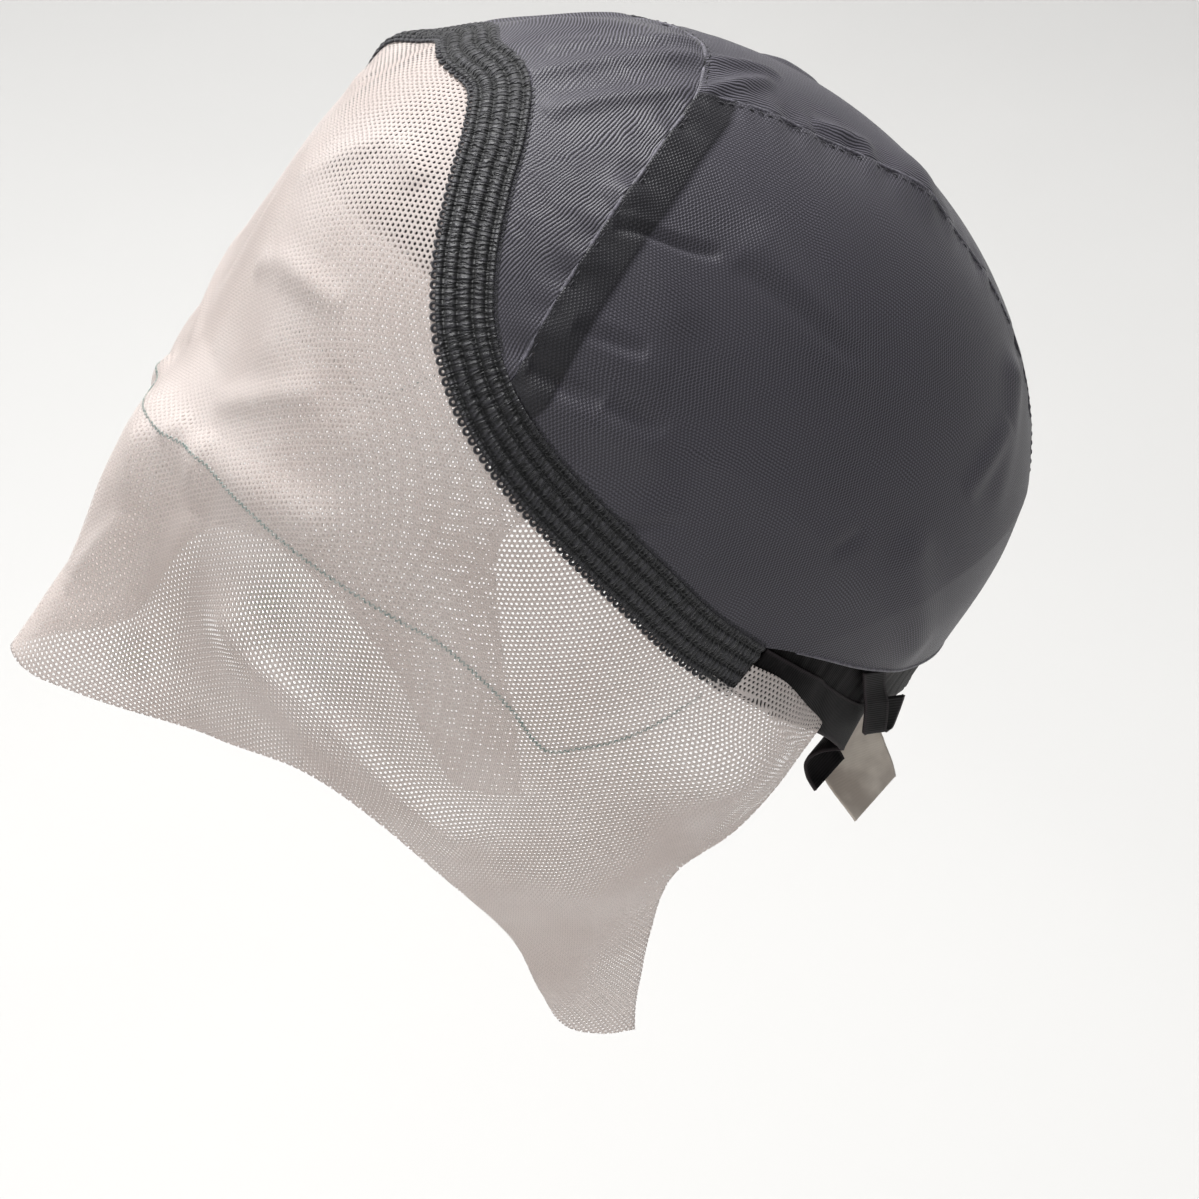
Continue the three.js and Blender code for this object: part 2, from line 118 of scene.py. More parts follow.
FOLDS = table(
    "start end out half sides",
    ((41, 6, -21), (57, 12, -36), 1.6, 5, BOTH),
    ((56, -8, -38), (64, 4, -45), 1.4, 5, LEFT),
    ((61, -18, -50), (68, 2, -60), 1.5, 5, LEFT),
    ((50, 34, -29), (63, 51, -55), 1.5, 6, BOTH),
    ((31, 98, -80), (43, 88, -98), 2.0, 5, LEFT),
    ((62, 62, -100), (58, 66, -125), 1.8, 6, BOTH),
    ((-10, 4, -1), (4, 32, -6), 1.2, 5, LEFT),
    ((20, -62, -52), (44, -50, -62), 1.5, 6, LEFT),
    ((10, -88, -74), (50, -62, -78), 1.6, 6, BOTH),
    ((38, -77, -108), (66, -38, -150), 2.6, 7, BOTH),
)
# Fine creases that only the cloth shows: a narrow groove or ridge between two places.
CREASES = table(
    "start end out half sides",
    ((44.4, 2.4, -22.7), (48.2, 23.8, -30), -1.9, 1.3, BOTH),
    ((44.9, 3.4, -21.2), (49.2, 23.8, -28.4), 1.2, 1.4, BOTH),
    ((49.1, 26.7, -32), (55.8, 51.8, -55.2), -1.2, 2.4, LEFT),
    ((55.3, -9.2, -37.7), (59.3, 4.9, -43.7), -1.2, 1.8, LEFT),
    ((57.3, -19, -43.8), (63, -4.8, -50.8), -1.5, 2, BOTH),
    ((63, -4.8, -50.8), (66.1, 6.8, -57.8), -1.2, 2, BOTH),
    ((71.7, -7.9, -75.1), (72.1, 9, -76.1), -1, 1.8, LEFT),
    ((70.5, 41.6, -91), (67.4, 51.1, -88.9), -0.8, 2, LEFT),
    ((40.6, 94.9, -85.4), (55.2, 79.1, -92.1), 1.2, 3.2, LEFT),
    ((14, -8, -3), (8.7, 32, -5.4), 2, 2.2, LEFT),
    ((23, -6, -7), (19, 28, -8), 1.8, 2.2, BOTH),
    ((5.1, 0, -1.5), (3.1, 34, -5.8), 1.6, 2, LEFT),
    ((8.9, 33.5, -6.5), (3.8, 52.2, -13.8), 1.5, 1.8, LEFT),
    ((18.9, 29.9, -8.4), (9.1, 48.9, -12.8), 1.5, 1.8, LEFT),
    ((16.7, 55.8, -18.6), (16, 69.4, -27.6), 1.5, 2, BOTH),
)
# Creases of the lace: a taut ridge or a slack groove between two places.
LACE_CREASES = table(
    "start end out half sides",
    ((2.4, -65.6, -40.2), (6.2, -61.4, -34.9), 1, 3, LEFT),
    ((6.2, -61.4, -34.9), (33, -51.4, -36.9), 1.5, 3.2, LEFT),
    ((-2.1, -53.2, -25.2), (14.1, -33.4, -11.8), 1, 3, LEFT),
    ((13.9, -33.6, -11.8), (26.5, -32.1, -16.7), 0.9, 3, BOTH),
    ((13.5, -78.1, -65), (38.6, -58.8, -52.3), 1.2, 3.5, BOTH),
    ((2.8, -90.6, -74.1), (10.6, -92.7, -92.8), 2, 3, LEFT),
    ((10.6, -92.7, -92.8), (3.4, -108.4, -113.2), 1.8, 3.2, LEFT),
    ((17.3, -79.4, -70.6), (22.3, -82.3, -86.7), 1.8, 3.4, BOTH),
    ((22.3, -82.3, -86.7), (16.6, -96.8, -131.1), 1.8, 4, BOTH),
    ((10.9, -82.3, -70), (9.4, -87.8, -75.8), 1.2, 2.6, LEFT),
    ((41.7, -74.7, -110.2), (55.1, -62.1, -119.5), 0.9, 2.8, BOTH),
    ((55.1, -62.1, -119.5), (65.5, -38.6, -148.2), 1.1, 2.8, BOTH),
    ((83, 8, -126), (83.5, 22, -134), 1, 4, BOTH),
    ((81, 4, -141), (80, 22, -145), -0.8, 3, BOTH),
    ((70, -20, -160), (56, 6, -206), 1, 5, BOTH),
)
# The lace rises over the straps that lie under it.
OVER_STRAP = table("start end out half sides", ((77, 24, -113), (74, 43, -133), 1.9, 10, BOTH))


def read_column(rows, name, z):
    """A table's column read at z: a cubic between rows, with slopes from the rows beside them."""
    zs = np.array([r["z"] for r in rows], float)
    values = np.array([r[name] for r in rows], float)
    before = np.maximum(np.arange(len(rows)) - 1, 0)
    after = np.minimum(np.arange(len(rows)) + 1, len(rows) - 1)
    slopes = (values[after] - values[before]) / (zs[after] - zs[before])
    i = np.searchsorted(zs[1:-1], z)
    step = zs[i + 1] - zs[i]
    t = np.clip((z - zs[i]) / step, 0, 1)
    rise = 3 * t**2 - 2 * t**3
    bend = slopes[i] * (t**3 - 2 * t**2 + t) + slopes[i + 1] * (t**3 - t**2)
    return values[i] * (1 - rise) + values[i + 1] * rise + step * bend


def bumps(points, rows):
    """Round swellings: each adds its height times a bell curve of the distance from its centre."""
    out = np.zeros(points.shape[:-1])
    for row in rows:
        for side in row["sides"]:
            away = points * (side, 1, 1) - row["at"]
            out += row["out"] * np.exp(-np.sum(away**2, axis=-1) / row["spread"] ** 2)
    return out


def ridges(points, rows, taper=0.0):
    """Long folds: each adds its height times a bell curve of the distance from its line. With a
    taper the height sinks towards both ends, as that power of the parabola between them."""
    out = np.zeros(points.shape[:-1])
    for row in rows:
        start = np.array(row["start"], float)
        line = np.array(row["end"]) - start
        for side in row["sides"]:
            here = points * (side, 1, 1) - start
            share = np.clip(here @ line / (line @ line), 0, 1)
            away = here - share[..., None] * line
            height = row["out"] * (1e-4 + 4 * share * (1 - share)) ** taper
            out += height * np.exp(-np.sum(away**2, axis=-1) / row["half"] ** 2)
    return out


def on_form(guide, lift=0.0, creases=()):
    """Guide points pushed out to the head form and lifted off it.

    Above the centre the ray starts at the form's centre, below it level with the guide. The level
    section is a superellipse and the dome a superellipse of that section's radius and the rise."""
    guide = np.asarray(guide, float)
    x, y, z = np.moveaxis(guide, -1, 0)
    level = np.minimum(z, CENTRE_Z)
    flat = np.hypot(x, y) + 1e-9
    power = read_column(SECTIONS, "power", level)
    front, back = (read_column(SECTIONS, name, level) for name in ("front", "back"))
    depth = np.where(y < 0, front, back)
    sideways = np.abs(x) / flat / read_column(SECTIONS, "side", level)
    lengthways = np.abs(y) / flat / depth
    section = (sideways**power + lengthways**power) ** (-1 / power)
    climb = np.arctan2(np.maximum(z - CENTRE_Z, 0), flat)
    out, up = np.cos(climb), np.sin(climb)
    reach = ((out / section) ** DOME_POWER + (up / CROWN_RISE) ** DOME_POWER) ** (-1 / DOME_POWER)
    outward = np.stack([x / flat * out, y / flat * out, up], axis=-1)
    centre = np.stack([0 * x, 0 * x, level], axis=-1)
    point = centre + outward * reach[..., None]
    tent = read_column(TENT, "out", point[..., 2]) * np.exp(-((point[..., 0] / TENT_WIDTH) ** 2))
    tent = np.where((point[..., 1] > 0) | (point[..., 2] > TENT[-1]["z"]), 0, tent)
    off = bumps(point, SWELLINGS) + ridges(point, FOLDS) + tent + lift
    for rows in creases:
        taper = 0.0 if rows is OVER_STRAP else CREASE_TAPER
        off = off + ridges(point + outward * tent[..., None], rows, taper)
    return point + outward * off[..., None]


# ---- curves and patches ------------------------------------------
def spline(points):
    """A centripetal Catmull-Rom curve through points, by an even share of the points."""
    points = np.asarray(points, float)
    padded = np.vstack([2 * points[0] - points[1], points, 2 * points[-1] - points[-2]])
    gaps = np.maximum(np.linalg.norm(np.diff(padded, axis=0), axis=1) ** 0.5, 1e-4)[:, None]

    def at(t):
        place = np.clip(np.asarray(t, float), 0, 1) * (len(points) - 1)
        i = np.minimum(place.astype(int), len(points) - 2)
        w = (place - i)[..., None]
        p0, p1, p2, p3 = (padded[i + k] for k in range(4))
        g0, g1, g2 = (gaps[i + k] for k in range(3))
        a = ((p1 - p0) / g0 - (p2 - p0) / (g0 + g1) + (p2 - p1) / g1) * g1
        b = ((p2 - p1) / g1 - (p3 - p1) / (g1 + g2) + (p3 - p2) / g2) * g1
        return p1 + a * w + (3 * (p2 - p1) - 2 * a - b) * w**2 + (2 * (p1 - p2) + a + b) * w**3

    return at


def lengths(points):
    """The distance walked along a line of points."""
    steps = np.linalg.norm(np.diff(points, axis=0), axis=-1)
    return np.concatenate([[0], np.cumsum(steps)])


def curve(points):
    """A spline read by its share of length, looked up in a table of walked distances."""
    at, t = spline(points), np.linspace(0, 1, 3000)
    walked = lengths(at(t))
    return lambda share: at(np.interp(np.clip(share, 0, 1) * walked[-1], walked, t))


def across(rows, middle_first):
    """A left half line and its mirror image, as one curve from the left side to the right."""
    left = np.array(rows, float)
    left = left[::-1] if middle_first else left
    return curve(np.vstack([left, (left * (-1, 1, 1))[::-1][1:]]))


def part(whole, start, end):
    """The stretch of a curve from one share of it to another."""
    return lambda t: whole(start + (end - start) * np.asarray(t))


def mirror(whole):
    """The same curve on the other side: X with its sign turned."""
    return lambda t: whole(t) * (-1, 1, 1)


def backward(whole):
    """The same curve walked from its end: at one less the share."""
    return lambda t: whole(1 - t)


def moved(whole, aside):
    """The same curve moved sideways along X."""
    return lambda t: whole(t) + (aside, 0, 0)


def beside(whole, aside):
    """A curve beside another on the form: moved along its run crossed with the outward ray."""
    step = 0.004

    def at(t):
        t = np.asarray(t, float)
        here = on_form(whole(t))
        along = on_form(whole(np.minimum(t + step, 1))) - on_form(whole(np.maximum(t - step, 0)))
        centre = np.zeros_like(here)
        centre[..., 2] = np.minimum(here[..., 2], CENTRE_Z)
        side = np.cross(along, here - centre)
        return here + aside * side / np.linalg.norm(side, axis=-1, keepdims=True)

    return at


def ruled(top, bottom):
    """A patch of straight lines, each from the top edge to the same share of the bottom edge."""
    return lambda u, v: top(u) * (1 - v[..., None]) + bottom(u) * v[..., None]


def bounded(top, bottom, left, right, fade=1.0):
    """A patch between four edges: straight lines from top to bottom, bent by how far the left and
    right edges bend, which fades out over the share `fade` of the width."""
    straight = ruled(top, bottom)
    power = 2 if fade < 1 else 1

    def bend(edge, end, v, share):
        weight = np.maximum(1 - share / fade, 0) ** power
        return (edge(v) - straight(np.full_like(v, end), v)) * weight[..., None]

    return lambda u, v: straight(u, v) + bend(left, 0.0, v, u) + bend(right, 1.0, v, 1 - u)


def opposite(patch):
    """The other side's patch, with its columns in turned order so that it still faces out."""
    return lambda u, v: patch(1 - u, v) * (-1, 1, 1)


def share_at_x(whole, x):
    """The share of a left-to-right curve's first half where it lies x to the left, by halving."""
    low, high = 0.0, 0.5
    for _ in range(30):
        middle = (low + high) / 2
        low, high = (middle, high) if whole(middle)[0] > x else (low, middle)
    return low


# ---- the cap's edge lines, from the middle or the top to the left ----
BAND_LINE = [
    (0, -14, -2), (13, -11.5, -4), (24, -15.5, -8), (33, -21.5, -16), (42, -27, -27),
    (50, -29.5, -38), (58, -27.5, -50), (66, -20.5, -63), (72.5, -9.5, -76.5), (75, 1, -89),
    (76, 11, -101), (77, 23, -112),
]
CROSS_SEAM = [
    (0, 35, -6), (20, 28, -8), (30, 18, -12), (39, 8, -17), (47, -3.5, -25), (53, -14, -36),
    (57.5, -22, -46),
]
NAPE_LINE = [
    (76.3, 24.2, -110.7), (75.3, 29.2, -113.2), (73, 39.2, -119.1), (68, 51.3, -127.6),
    (58, 65.3, -137.4), (42, 79.5, -146.5), (22, 89.7, -152.5), (0, 92.7, -155),
]
LONG_SEAM = [(28, -8), (62, -24), (92, -53), (108, -88), (107, -122), (98, -143)]
LACE_HEM = [
    (46.5, 11, -236), (48, 2, -234), (48.5, -7, -229), (51, -14, -214), (56.5, -22, -192),
    (61, -38, -167), (57.5, -53, -149), (49, -67, -139), (32, -82, -139.5), (20, -90, -141),
    (9, -114, -134), (0, -120, -130),
]
LACE_SIDE = [
    (76.5, 31, -116.5), (75.5, 37.5, -125.5), (74.4, 42.6, -131.7), (73.8, 43.8, -133.8),
    (73, 41.7, -137), (73.5, 38.2, -143), (71, 33, -150), (69.5, 25, -161), (69, 12, -170),
    (60, 9.5, -195), (51, 10.5, -216),
]
HAIRLINE = [
    (0, -89, -73.8), (7.9, -87.8, -74.2), (19.7, -80.4, -75.3), (29.1, -76.7, -77.9),
    (37.4, -72.7, -80.3), (63.7, -48.2, -94.2), (67.9, -40.9, -98.3), (71.8, -32.6, -106.9),
    (73.4, -27.3, -113.9), (74.9, -20, -125.1), (76.2, -13.4, -125), (77.3, -6.3, -124.1),
    (78.3, 0.9, -121.6), (78.6, 6.1, -119), (78.2, 12.8, -115.3),
]

# Heights of the cloth's faces above the form.
NET_LIFT = 0.9
LACE_LIFT = 0.5
BAND_LIFT = 0.9
BINDING_LIFT = -1.3
STRAP_LIFT = 0.9
LABEL_LIFT = -3.6
BAND_WIDTH = 11.5
NAPE_WIDTH = 10.5
NAPE_TUCK = 1.3
STRAP_WIDTH = 11.5
TAB_WIDTH = 8.0
LABEL_WIDTH = 18.0

band_line = across(BAND_LINE, True)
band_back = beside(band_line, BAND_WIDTH / 2)
cross_seam = across(CROSS_SEAM, True)
seam_line = beside(cross_seam, 0.0)
nape_line = across(NAPE_LINE, False)
nape_top = beside(nape_line, -NAPE_WIDTH / 2 + NAPE_TUCK)
SEAM_FOOT = share_at_x(band_back, on_form(CROSS_SEAM[-1])[0])


def long_seam(x):
    """The seam beside the centre panel at x from the middle, from the crossing seam to the nape."""
    crown = seam_line(share_at_x(seam_line, x))
    foot = nape_top(share_at_x(nape_top, x))
    return curve([crown, *[(x, y, z) for y, z in LONG_SEAM], foot])


side_seam = long_seam(CENTRE_HALF_WIDTH)
SEAM_CROWN = share_at_x(seam_line, side_seam(0.0)[0])
NAPE_FOOT = share_at_x(nape_top, side_seam(1.0)[0])


def lace_top():
    """The lace's upper edge, sewn in under the band: along its front and up round both its ends."""
    end = []
    for aside in np.linspace(1.5, -BAND_WIDTH / 2 + 1, 5):
        edge = beside(band_line, aside)
        end.append(edge(0.0) - unit(edge(0.0) - edge(0.01)) * 0.8)
    front = beside(band_line, -BAND_WIDTH / 2 + 1)(np.linspace(0.02, 0.98, 41))
    return curve(np.vstack([end, front, (np.array(end) * (-1, 1, 1))[::-1]]))


# ---- meshes from grids -------------------------------------------
def grid(surface, columns, rows):
    """A surface of two parameters sampled on an even grid: rows by columns of points."""
    u, v = np.meshgrid(np.linspace(0, 1, columns + 1), np.linspace(0, 1, rows + 1))
    return surface(u, v)


def unit(vectors):
    """Vectors divided by their own lengths."""
    return vectors / np.maximum(np.linalg.norm(vectors, axis=-1, keepdims=True), 1e-9)


def normals(points):
    """Outward normals of a grid: the cross product of its steps along and down."""
    return unit(np.cross(np.gradient(points, axis=1), np.gradient(points, axis=0)))


def quads(rows, columns):
    """Corner numbers of a grid's squares, which face along its step across times its step down."""
    corner = np.arange(rows * (columns + 1)).reshape(rows, columns + 1)[:, :-1].ravel()
    below = corner + columns + 1
    return np.stack([corner, corner + 1, below + 1, below], axis=1)


def flatten(points, turns=500):
    """The flat cut of a draped grid, in millimetres: from the walked lengths along rows and down
    the columns, moved until its sides and diagonals have their lengths on the drape, as nearly as
    a flat piece can."""
    along = np.linalg.norm(np.diff(points, axis=1), axis=-1)
    down = np.linalg.norm(np.diff(points, axis=0), axis=-1)
    x = np.pad(np.cumsum(along, axis=1), ((0, 0), (1, 0)))
    x -= x[:, x.shape[1] // 2, None]
    y = np.pad(np.cumsum(down, axis=0), ((1, 0), (0, 0)))
    y = np.broadcast_to(y.mean(axis=1, keepdims=True), x.shape)
    cut = np.stack([x, -y], axis=-1)
    whole, most, least = slice(None), slice(None, -1), slice(1, None)
    pairs = [
        ((whole, most), (whole, least)),
        ((most, whole), (least, whole)),
        ((most, most), (least, least)),
        ((most, least), (least, most)),
    ]
    for _ in range(turns):
        move = np.zeros_like(cut)
        for a, b in pairs:
            rest = np.linalg.norm(points[b] - points[a], axis=-1)
            span = cut[b] - cut[a]
            length = np.maximum(np.linalg.norm(span, axis=-1), 1e-6)
            pull = span * ((length - rest) / length * 0.5)[..., None]
            move[a] += pull
            move[b] -= pull
        cut = cut + move * 0.3
    return cut


def refine(coarse, shape):
    """A coarse grid read at more rows and columns, straight between its points."""
    for axis in (0, 1):
        place = np.linspace(0, coarse.shape[axis] - 1, shape[axis])
        i = np.minimum(place.astype(int), coarse.shape[axis] - 2)
        weight = (place - i).reshape([-1, 1, 1] if axis == 0 else [1, -1, 1])
        coarse = coarse.take(i, axis) * (1 - weight) + coarse.take(i + 1, axis) * weight
    return coarse


def turned(cut, points, start, end):
    """The cut turned so that the grain, from start to end on the drape, runs along its width."""
    flat, places = cut.reshape(-1, 2), points.reshape(-1, 3)
    a, b = (flat[np.argmin(np.sum((places - p) ** 2, axis=1))] for p in (start, end))
    c, s = (b - a) / np.linalg.norm(b - a)
    return cut @ np.array([[c, -s], [s, c]])


def flat_cut(points, every, grain):
    """The flat cut at every point, worked out on every few, with its size and area in metres."""
    coarse = points[::every, ::every]
    cut = flatten(coarse)
    spans = cut.reshape(-1, 2).max(axis=0) - cut.reshape(-1, 2).min(axis=0)
    falling, rising = points[1:, 1:] - points[:-1, :-1], points[1:, :-1] - points[:-1, 1:]
    area = np.linalg.norm(np.cross(falling, rising), axis=-1).sum() / 2
    cut = refine(turned(cut, coarse, *grain), points.shape)
    return cut, tuple(float(s) * MM for s in spans), float(area) * MM**2


def new_piece(name, points, faces, cut=None, marks=None):
    """An object from points in millimetres and faces; the cut becomes its map, one unit to the
    millimetre, and the marks become named values on its points. It rides on the one body."""
    mesh = bpy.data.meshes.new(name)
    mesh.from_pydata((points * MM).tolist(), [], faces.tolist())
    if cut is not None:
        corners = np.empty(len(mesh.loops), np.int32)
        mesh.loops.foreach_get("vertex_index", corners)
        layer = mesh.uv_layers.new(name="cut_mm")
        layer.data.foreach_set("uv", cut[corners].astype(np.float32).ravel())
    for mark, values in (marks or {}).items():
        layer = mesh.attributes.new(mark, "FLOAT", "POINT")
        layer.data.foreach_set("value", values.astype(np.float32).ravel())
    mesh.shade_smooth()
    mesh.update()
    piece = bpy.data.objects.new(name, mesh)
    bpy.context.scene.collection.objects.link(piece)
    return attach(piece, "root")


def cloth_piece(name, outer, wall, cut, marks=None):
    """Cloth of two faces: the outer grid, the same grid moved in by the wall, and a rim between."""
    rows, columns = outer.shape[0] - 1, outer.shape[1] - 1
    inner = outer - normals(outer) * wall
    face = quads(rows, columns)
    lift = outer.shape[0] * outer.shape[1]
    number = np.arange(lift).reshape(rows + 1, columns + 1)
    rim = [number[0], number[1:, -1], number[-1, :-1][::-1], number[:-1, 0][::-1]]
    rim = np.concatenate(rim)
    wallface = np.stack([rim[1:], rim[:-1], rim[:-1] + lift, rim[1:] + lift], axis=1)
    faces = np.concatenate([face, face[:, ::-1] + lift, wallface])
    both = np.concatenate([outer.reshape(-1, 3), inner.reshape(-1, 3)])
    for mark, values in (marks or {}).items():
        marks[mark] = np.tile(np.broadcast_to(values, outer.shape[:-1]).ravel(), 2)
    return new_piece(name, both, faces, np.tile(cut.reshape(-1, 2), (2, 1)), marks)


def strip_cut(walked, aside):
    """The flat cut of a straight strip: the walk along it by the place across it."""
    return np.stack(np.broadcast_arrays(walked, aside[:, None]), axis=-1)


def wrapped(copies, steps, sides, closed=False):
    """Faces of round threads whose points follow each other: squares round each step and on to the
    next, and from the last step back to the first where the thread is closed."""
    i, j = np.meshgrid(np.arange(steps if closed else steps - 1), np.arange(sides), indexing="ij")
    a, b = i * sides + j, i * sides + (j + 1) % sides
    ahead = ((i + 1) % steps - i) * sides
    corners = [a, a + ahead, b + ahead, b] if closed else [a, b, b + ahead, a + ahead]
    face = np.stack(corners, axis=-1).reshape(-1, 4)
    return (face + np.arange(copies)[:, None, None] * steps * sides).reshape(-1, 4)


def tubes(paths, radius, sides):
    """Round threads along many equal paths (path, point, 3): a circle of points about each place,
    spanned by two directions square to the path, tapered to a blunt tip at both ends."""
    along = unit(np.gradient(paths, axis=1))
    level = unit(np.cross(along, unit(paths + (0, 0, 60.0))))[:, :, None]
    up = np.cross(along, level[:, :, 0])[:, :, None]
    copies, count = paths.shape[:2]
    taper = np.minimum(1, np.sin(np.linspace(0.35, math.pi - 0.35, count)) * 2)[:, None, None]
    turn = np.linspace(0, 2 * math.pi, sides, endpoint=False)[:, None]
    points = paths[:, :, None] + (level * np.cos(turn) + up * np.sin(turn)) * (radius * taper)
    return points.reshape(-1, 3), wrapped(copies, count, sides)


def rings(centres, along, outward, radius, thread, steps=10, sides=5):
    """Small thread rings lying on the cloth: a circle of a circle about each centre."""
    side = unit(np.cross(along, outward))
    turn = np.linspace(0, 2 * math.pi, steps, endpoint=False)[:, None]
    spoke = along[:, None] * np.cos(turn) + side[:, None] * np.sin(turn)
    tilt = np.linspace(0, 2 * math.pi, sides, endpoint=False)[:, None]
    offset = spoke[:, :, None] * (radius + thread * np.cos(tilt))
    offset = offset + outward[:, None, None] * (thread * np.sin(tilt))
    points = centres[:, None, None] + offset
    return points.reshape(-1, 3), wrapped(len(centres), steps, sides, closed=True)


def dashes(line, lift, length, gap, lean=0.0):
    """Running stitches along a line on the form: one short path for each, level with the cloth."""
    walked = lengths(line(np.linspace(0, 1, 800)))[-1]
    count = int(walked // (length + gap))
    start = np.arange(count) * (length + gap) / walked
    share = start[:, None] + np.linspace(0, length / walked, 5)
    paths = on_form(line(share), lift, (CREASES,))
    ray = unit(paths - (0, 0, CENTRE_Z))
    side = unit(np.cross(np.gradient(paths, axis=1), ray))
    rise = np.array([0, 0.15, 0.2, 0.15, 0])[:, None]
    return paths + side * np.linspace(-lean, lean, 5)[:, None] + ray * rise


# ---- materials ---------------------------------------------------
# The outputs read from an attribute node and from a coordinates node.
FACTOR, OBJECT = 2, 3


def add(tree, kind, inputs=None, **settings):
    """Adds a node, sets it, and fills its inputs, each a plain value or another node's output. An
    input goes by its number or its name. Gives back the outputs in use."""
    node = tree.nodes.new("ShaderNode" + kind)
    for key, value in settings.items():
        setattr(node, key, value)
    named = {socket.name: socket for socket in reversed(node.inputs) if socket.enabled}
    for key, value in (inputs or {}).items():
        socket = named[key] if isinstance(key, str) else node.inputs[key]
        if isinstance(value, bpy.types.NodeSocket):
            tree.links.new(value, socket)
        elif socket.type == "RGBA":
            socket.default_value = (*value[:3], 1)
        else:
            socket.default_value = value
    return [socket for socket in node.outputs if socket.enabled]


def hole_distance(tree, place, pitch):
    """Distance to the middle of the nearest mesh hole, in pitches: holes in rows, each row set off
    by half a pitch, as two overlapping rectangular lattices of which the nearer counts."""
    half = (0.5, math.sqrt(3) / 2, 1.0)
    back = tuple(-h for h in half)
    (scaled,) = add(tree, "VectorMath", {0: place, "Scale": 1 / pitch}, operation="SCALE")
    near = []
    for shift in ((0, 0, 0), (half[0], half[1], 0)):
        (moved,) = add(tree, "VectorMath", {0: scaled, 1: shift}, operation="ADD")
        (cell,) = add(tree, "VectorMath", {0: moved, 1: half, 2: back}, operation="WRAP")
        near += add(tree, "VectorMath", {0: cell}, operation="LENGTH")
    return add(tree, "Math", {0: near[0], 1: near[1]}, operation="MINIMUM")[0]


def stripes(tree, across_, pitch):
    """Evenly spaced round ribs, 0 in the grooves and 1 on the tops: a lifted cosine."""
    (turn,) = add(tree, "Math", {0: across_, 1: 2 * math.pi / pitch}, operation="MULTIPLY")
    (wave,) = add(tree, "Math", {0: turn}, operation="COSINE")
    return add(tree, "Math", {0: wave, 1: 0.5, 2: 0.5}, operation="MULTIPLY_ADD")[0]


def patches(tree, place, size, low=0.0, high=1.0):
    """Soft uneven patches of the given size, from low to high."""
    fac, _ = add(tree, "TexNoise", {"Vector": place, "Scale": 1 / size, "Detail": 3.0})
    spread = {"Value": fac, "From Min": 0.35, "From Max": 0.65, "To Min": low, "To Max": high}
    return add(tree, "MapRange", spread, interpolation_type="SMOOTHSTEP")[0]


def coat(piece, name, make, *args):
    """Gives the piece the material of that name, made by the function if it isn't there yet."""
    material = bpy.data.materials.get(name)
    if material is None:
        material = bpy.data.materials.new(name)
        material.use_nodes = True
        material.node_tree.nodes.clear()
        shader = make(material.node_tree, *args)
        add(material.node_tree, "OutputMaterial", {"Surface": shader})
    piece.data.materials.clear()
    piece.data.materials.append(material)


def feel(*values):
    """Roughness, specular level, sheen and the sheen's roughness, as inputs of the shader."""
    names = ("Roughness", "Specular IOR Level", "Sheen Weight", "Sheen Roughness")
    return dict(zip(names, values))


def cloth_face(tree, tones, height, strength, depth, feels):
    """A cloth's face: two tones, given as (share, low, high), a relief from the height, `depth`
    millimetres deep, and its feel. Gives back the shader, the colour and the relief."""
    tone = dict(zip(("Factor", "A", "B"), tones))
    colour = add(tree, "Mix", tone, data_type="RGBA")[0]
    (bump,) = add(tree, "Bump", {"Height": height, "Strength": strength, "Distance": depth * MM})
    (face,) = add(tree, "BsdfPrincipled", {"Base Color": colour, "Normal": bump, **feels})
    return face, colour, bump


def tulle(tree, sizes, colours):
    """Nylon tulle, knitted into a net of fine threads with round holes: soft, matt and see-through,
    with light passing on through the threads."""
    (place,) = add(tree, "UVMap", uv_map="cut_mm")
    away = hole_distance(tree, place, sizes.lace_pitch / MM)
    hole, soft = sizes.lace_hole, 0.05
    edges = {"Value": away, "From Min": hole - soft, "From Max": hole + soft}
    (thread,) = add(tree, "MapRange", edges, interpolation_type="SMOOTHSTEP")
    tones = (patches(tree, place, 38.0), colours.lace, colours.lace_shade)
    feels = feel(0.7, 0.3, 0.2, 0.4)
    front, colour, bump = cloth_face(tree, tones, away, 0.6, 0.3, feels)
    (through,) = add(tree, "BsdfTranslucent", {"Color": colour, "Normal": bump})
    (body,) = add(tree, "MixShader", {0: 0.45, 1: front, 2: through})
    (clear,) = add(tree, "BsdfTransparent")
    return add(tree, "MixShader", {0: thread, 1: clear, 2: body})[0]


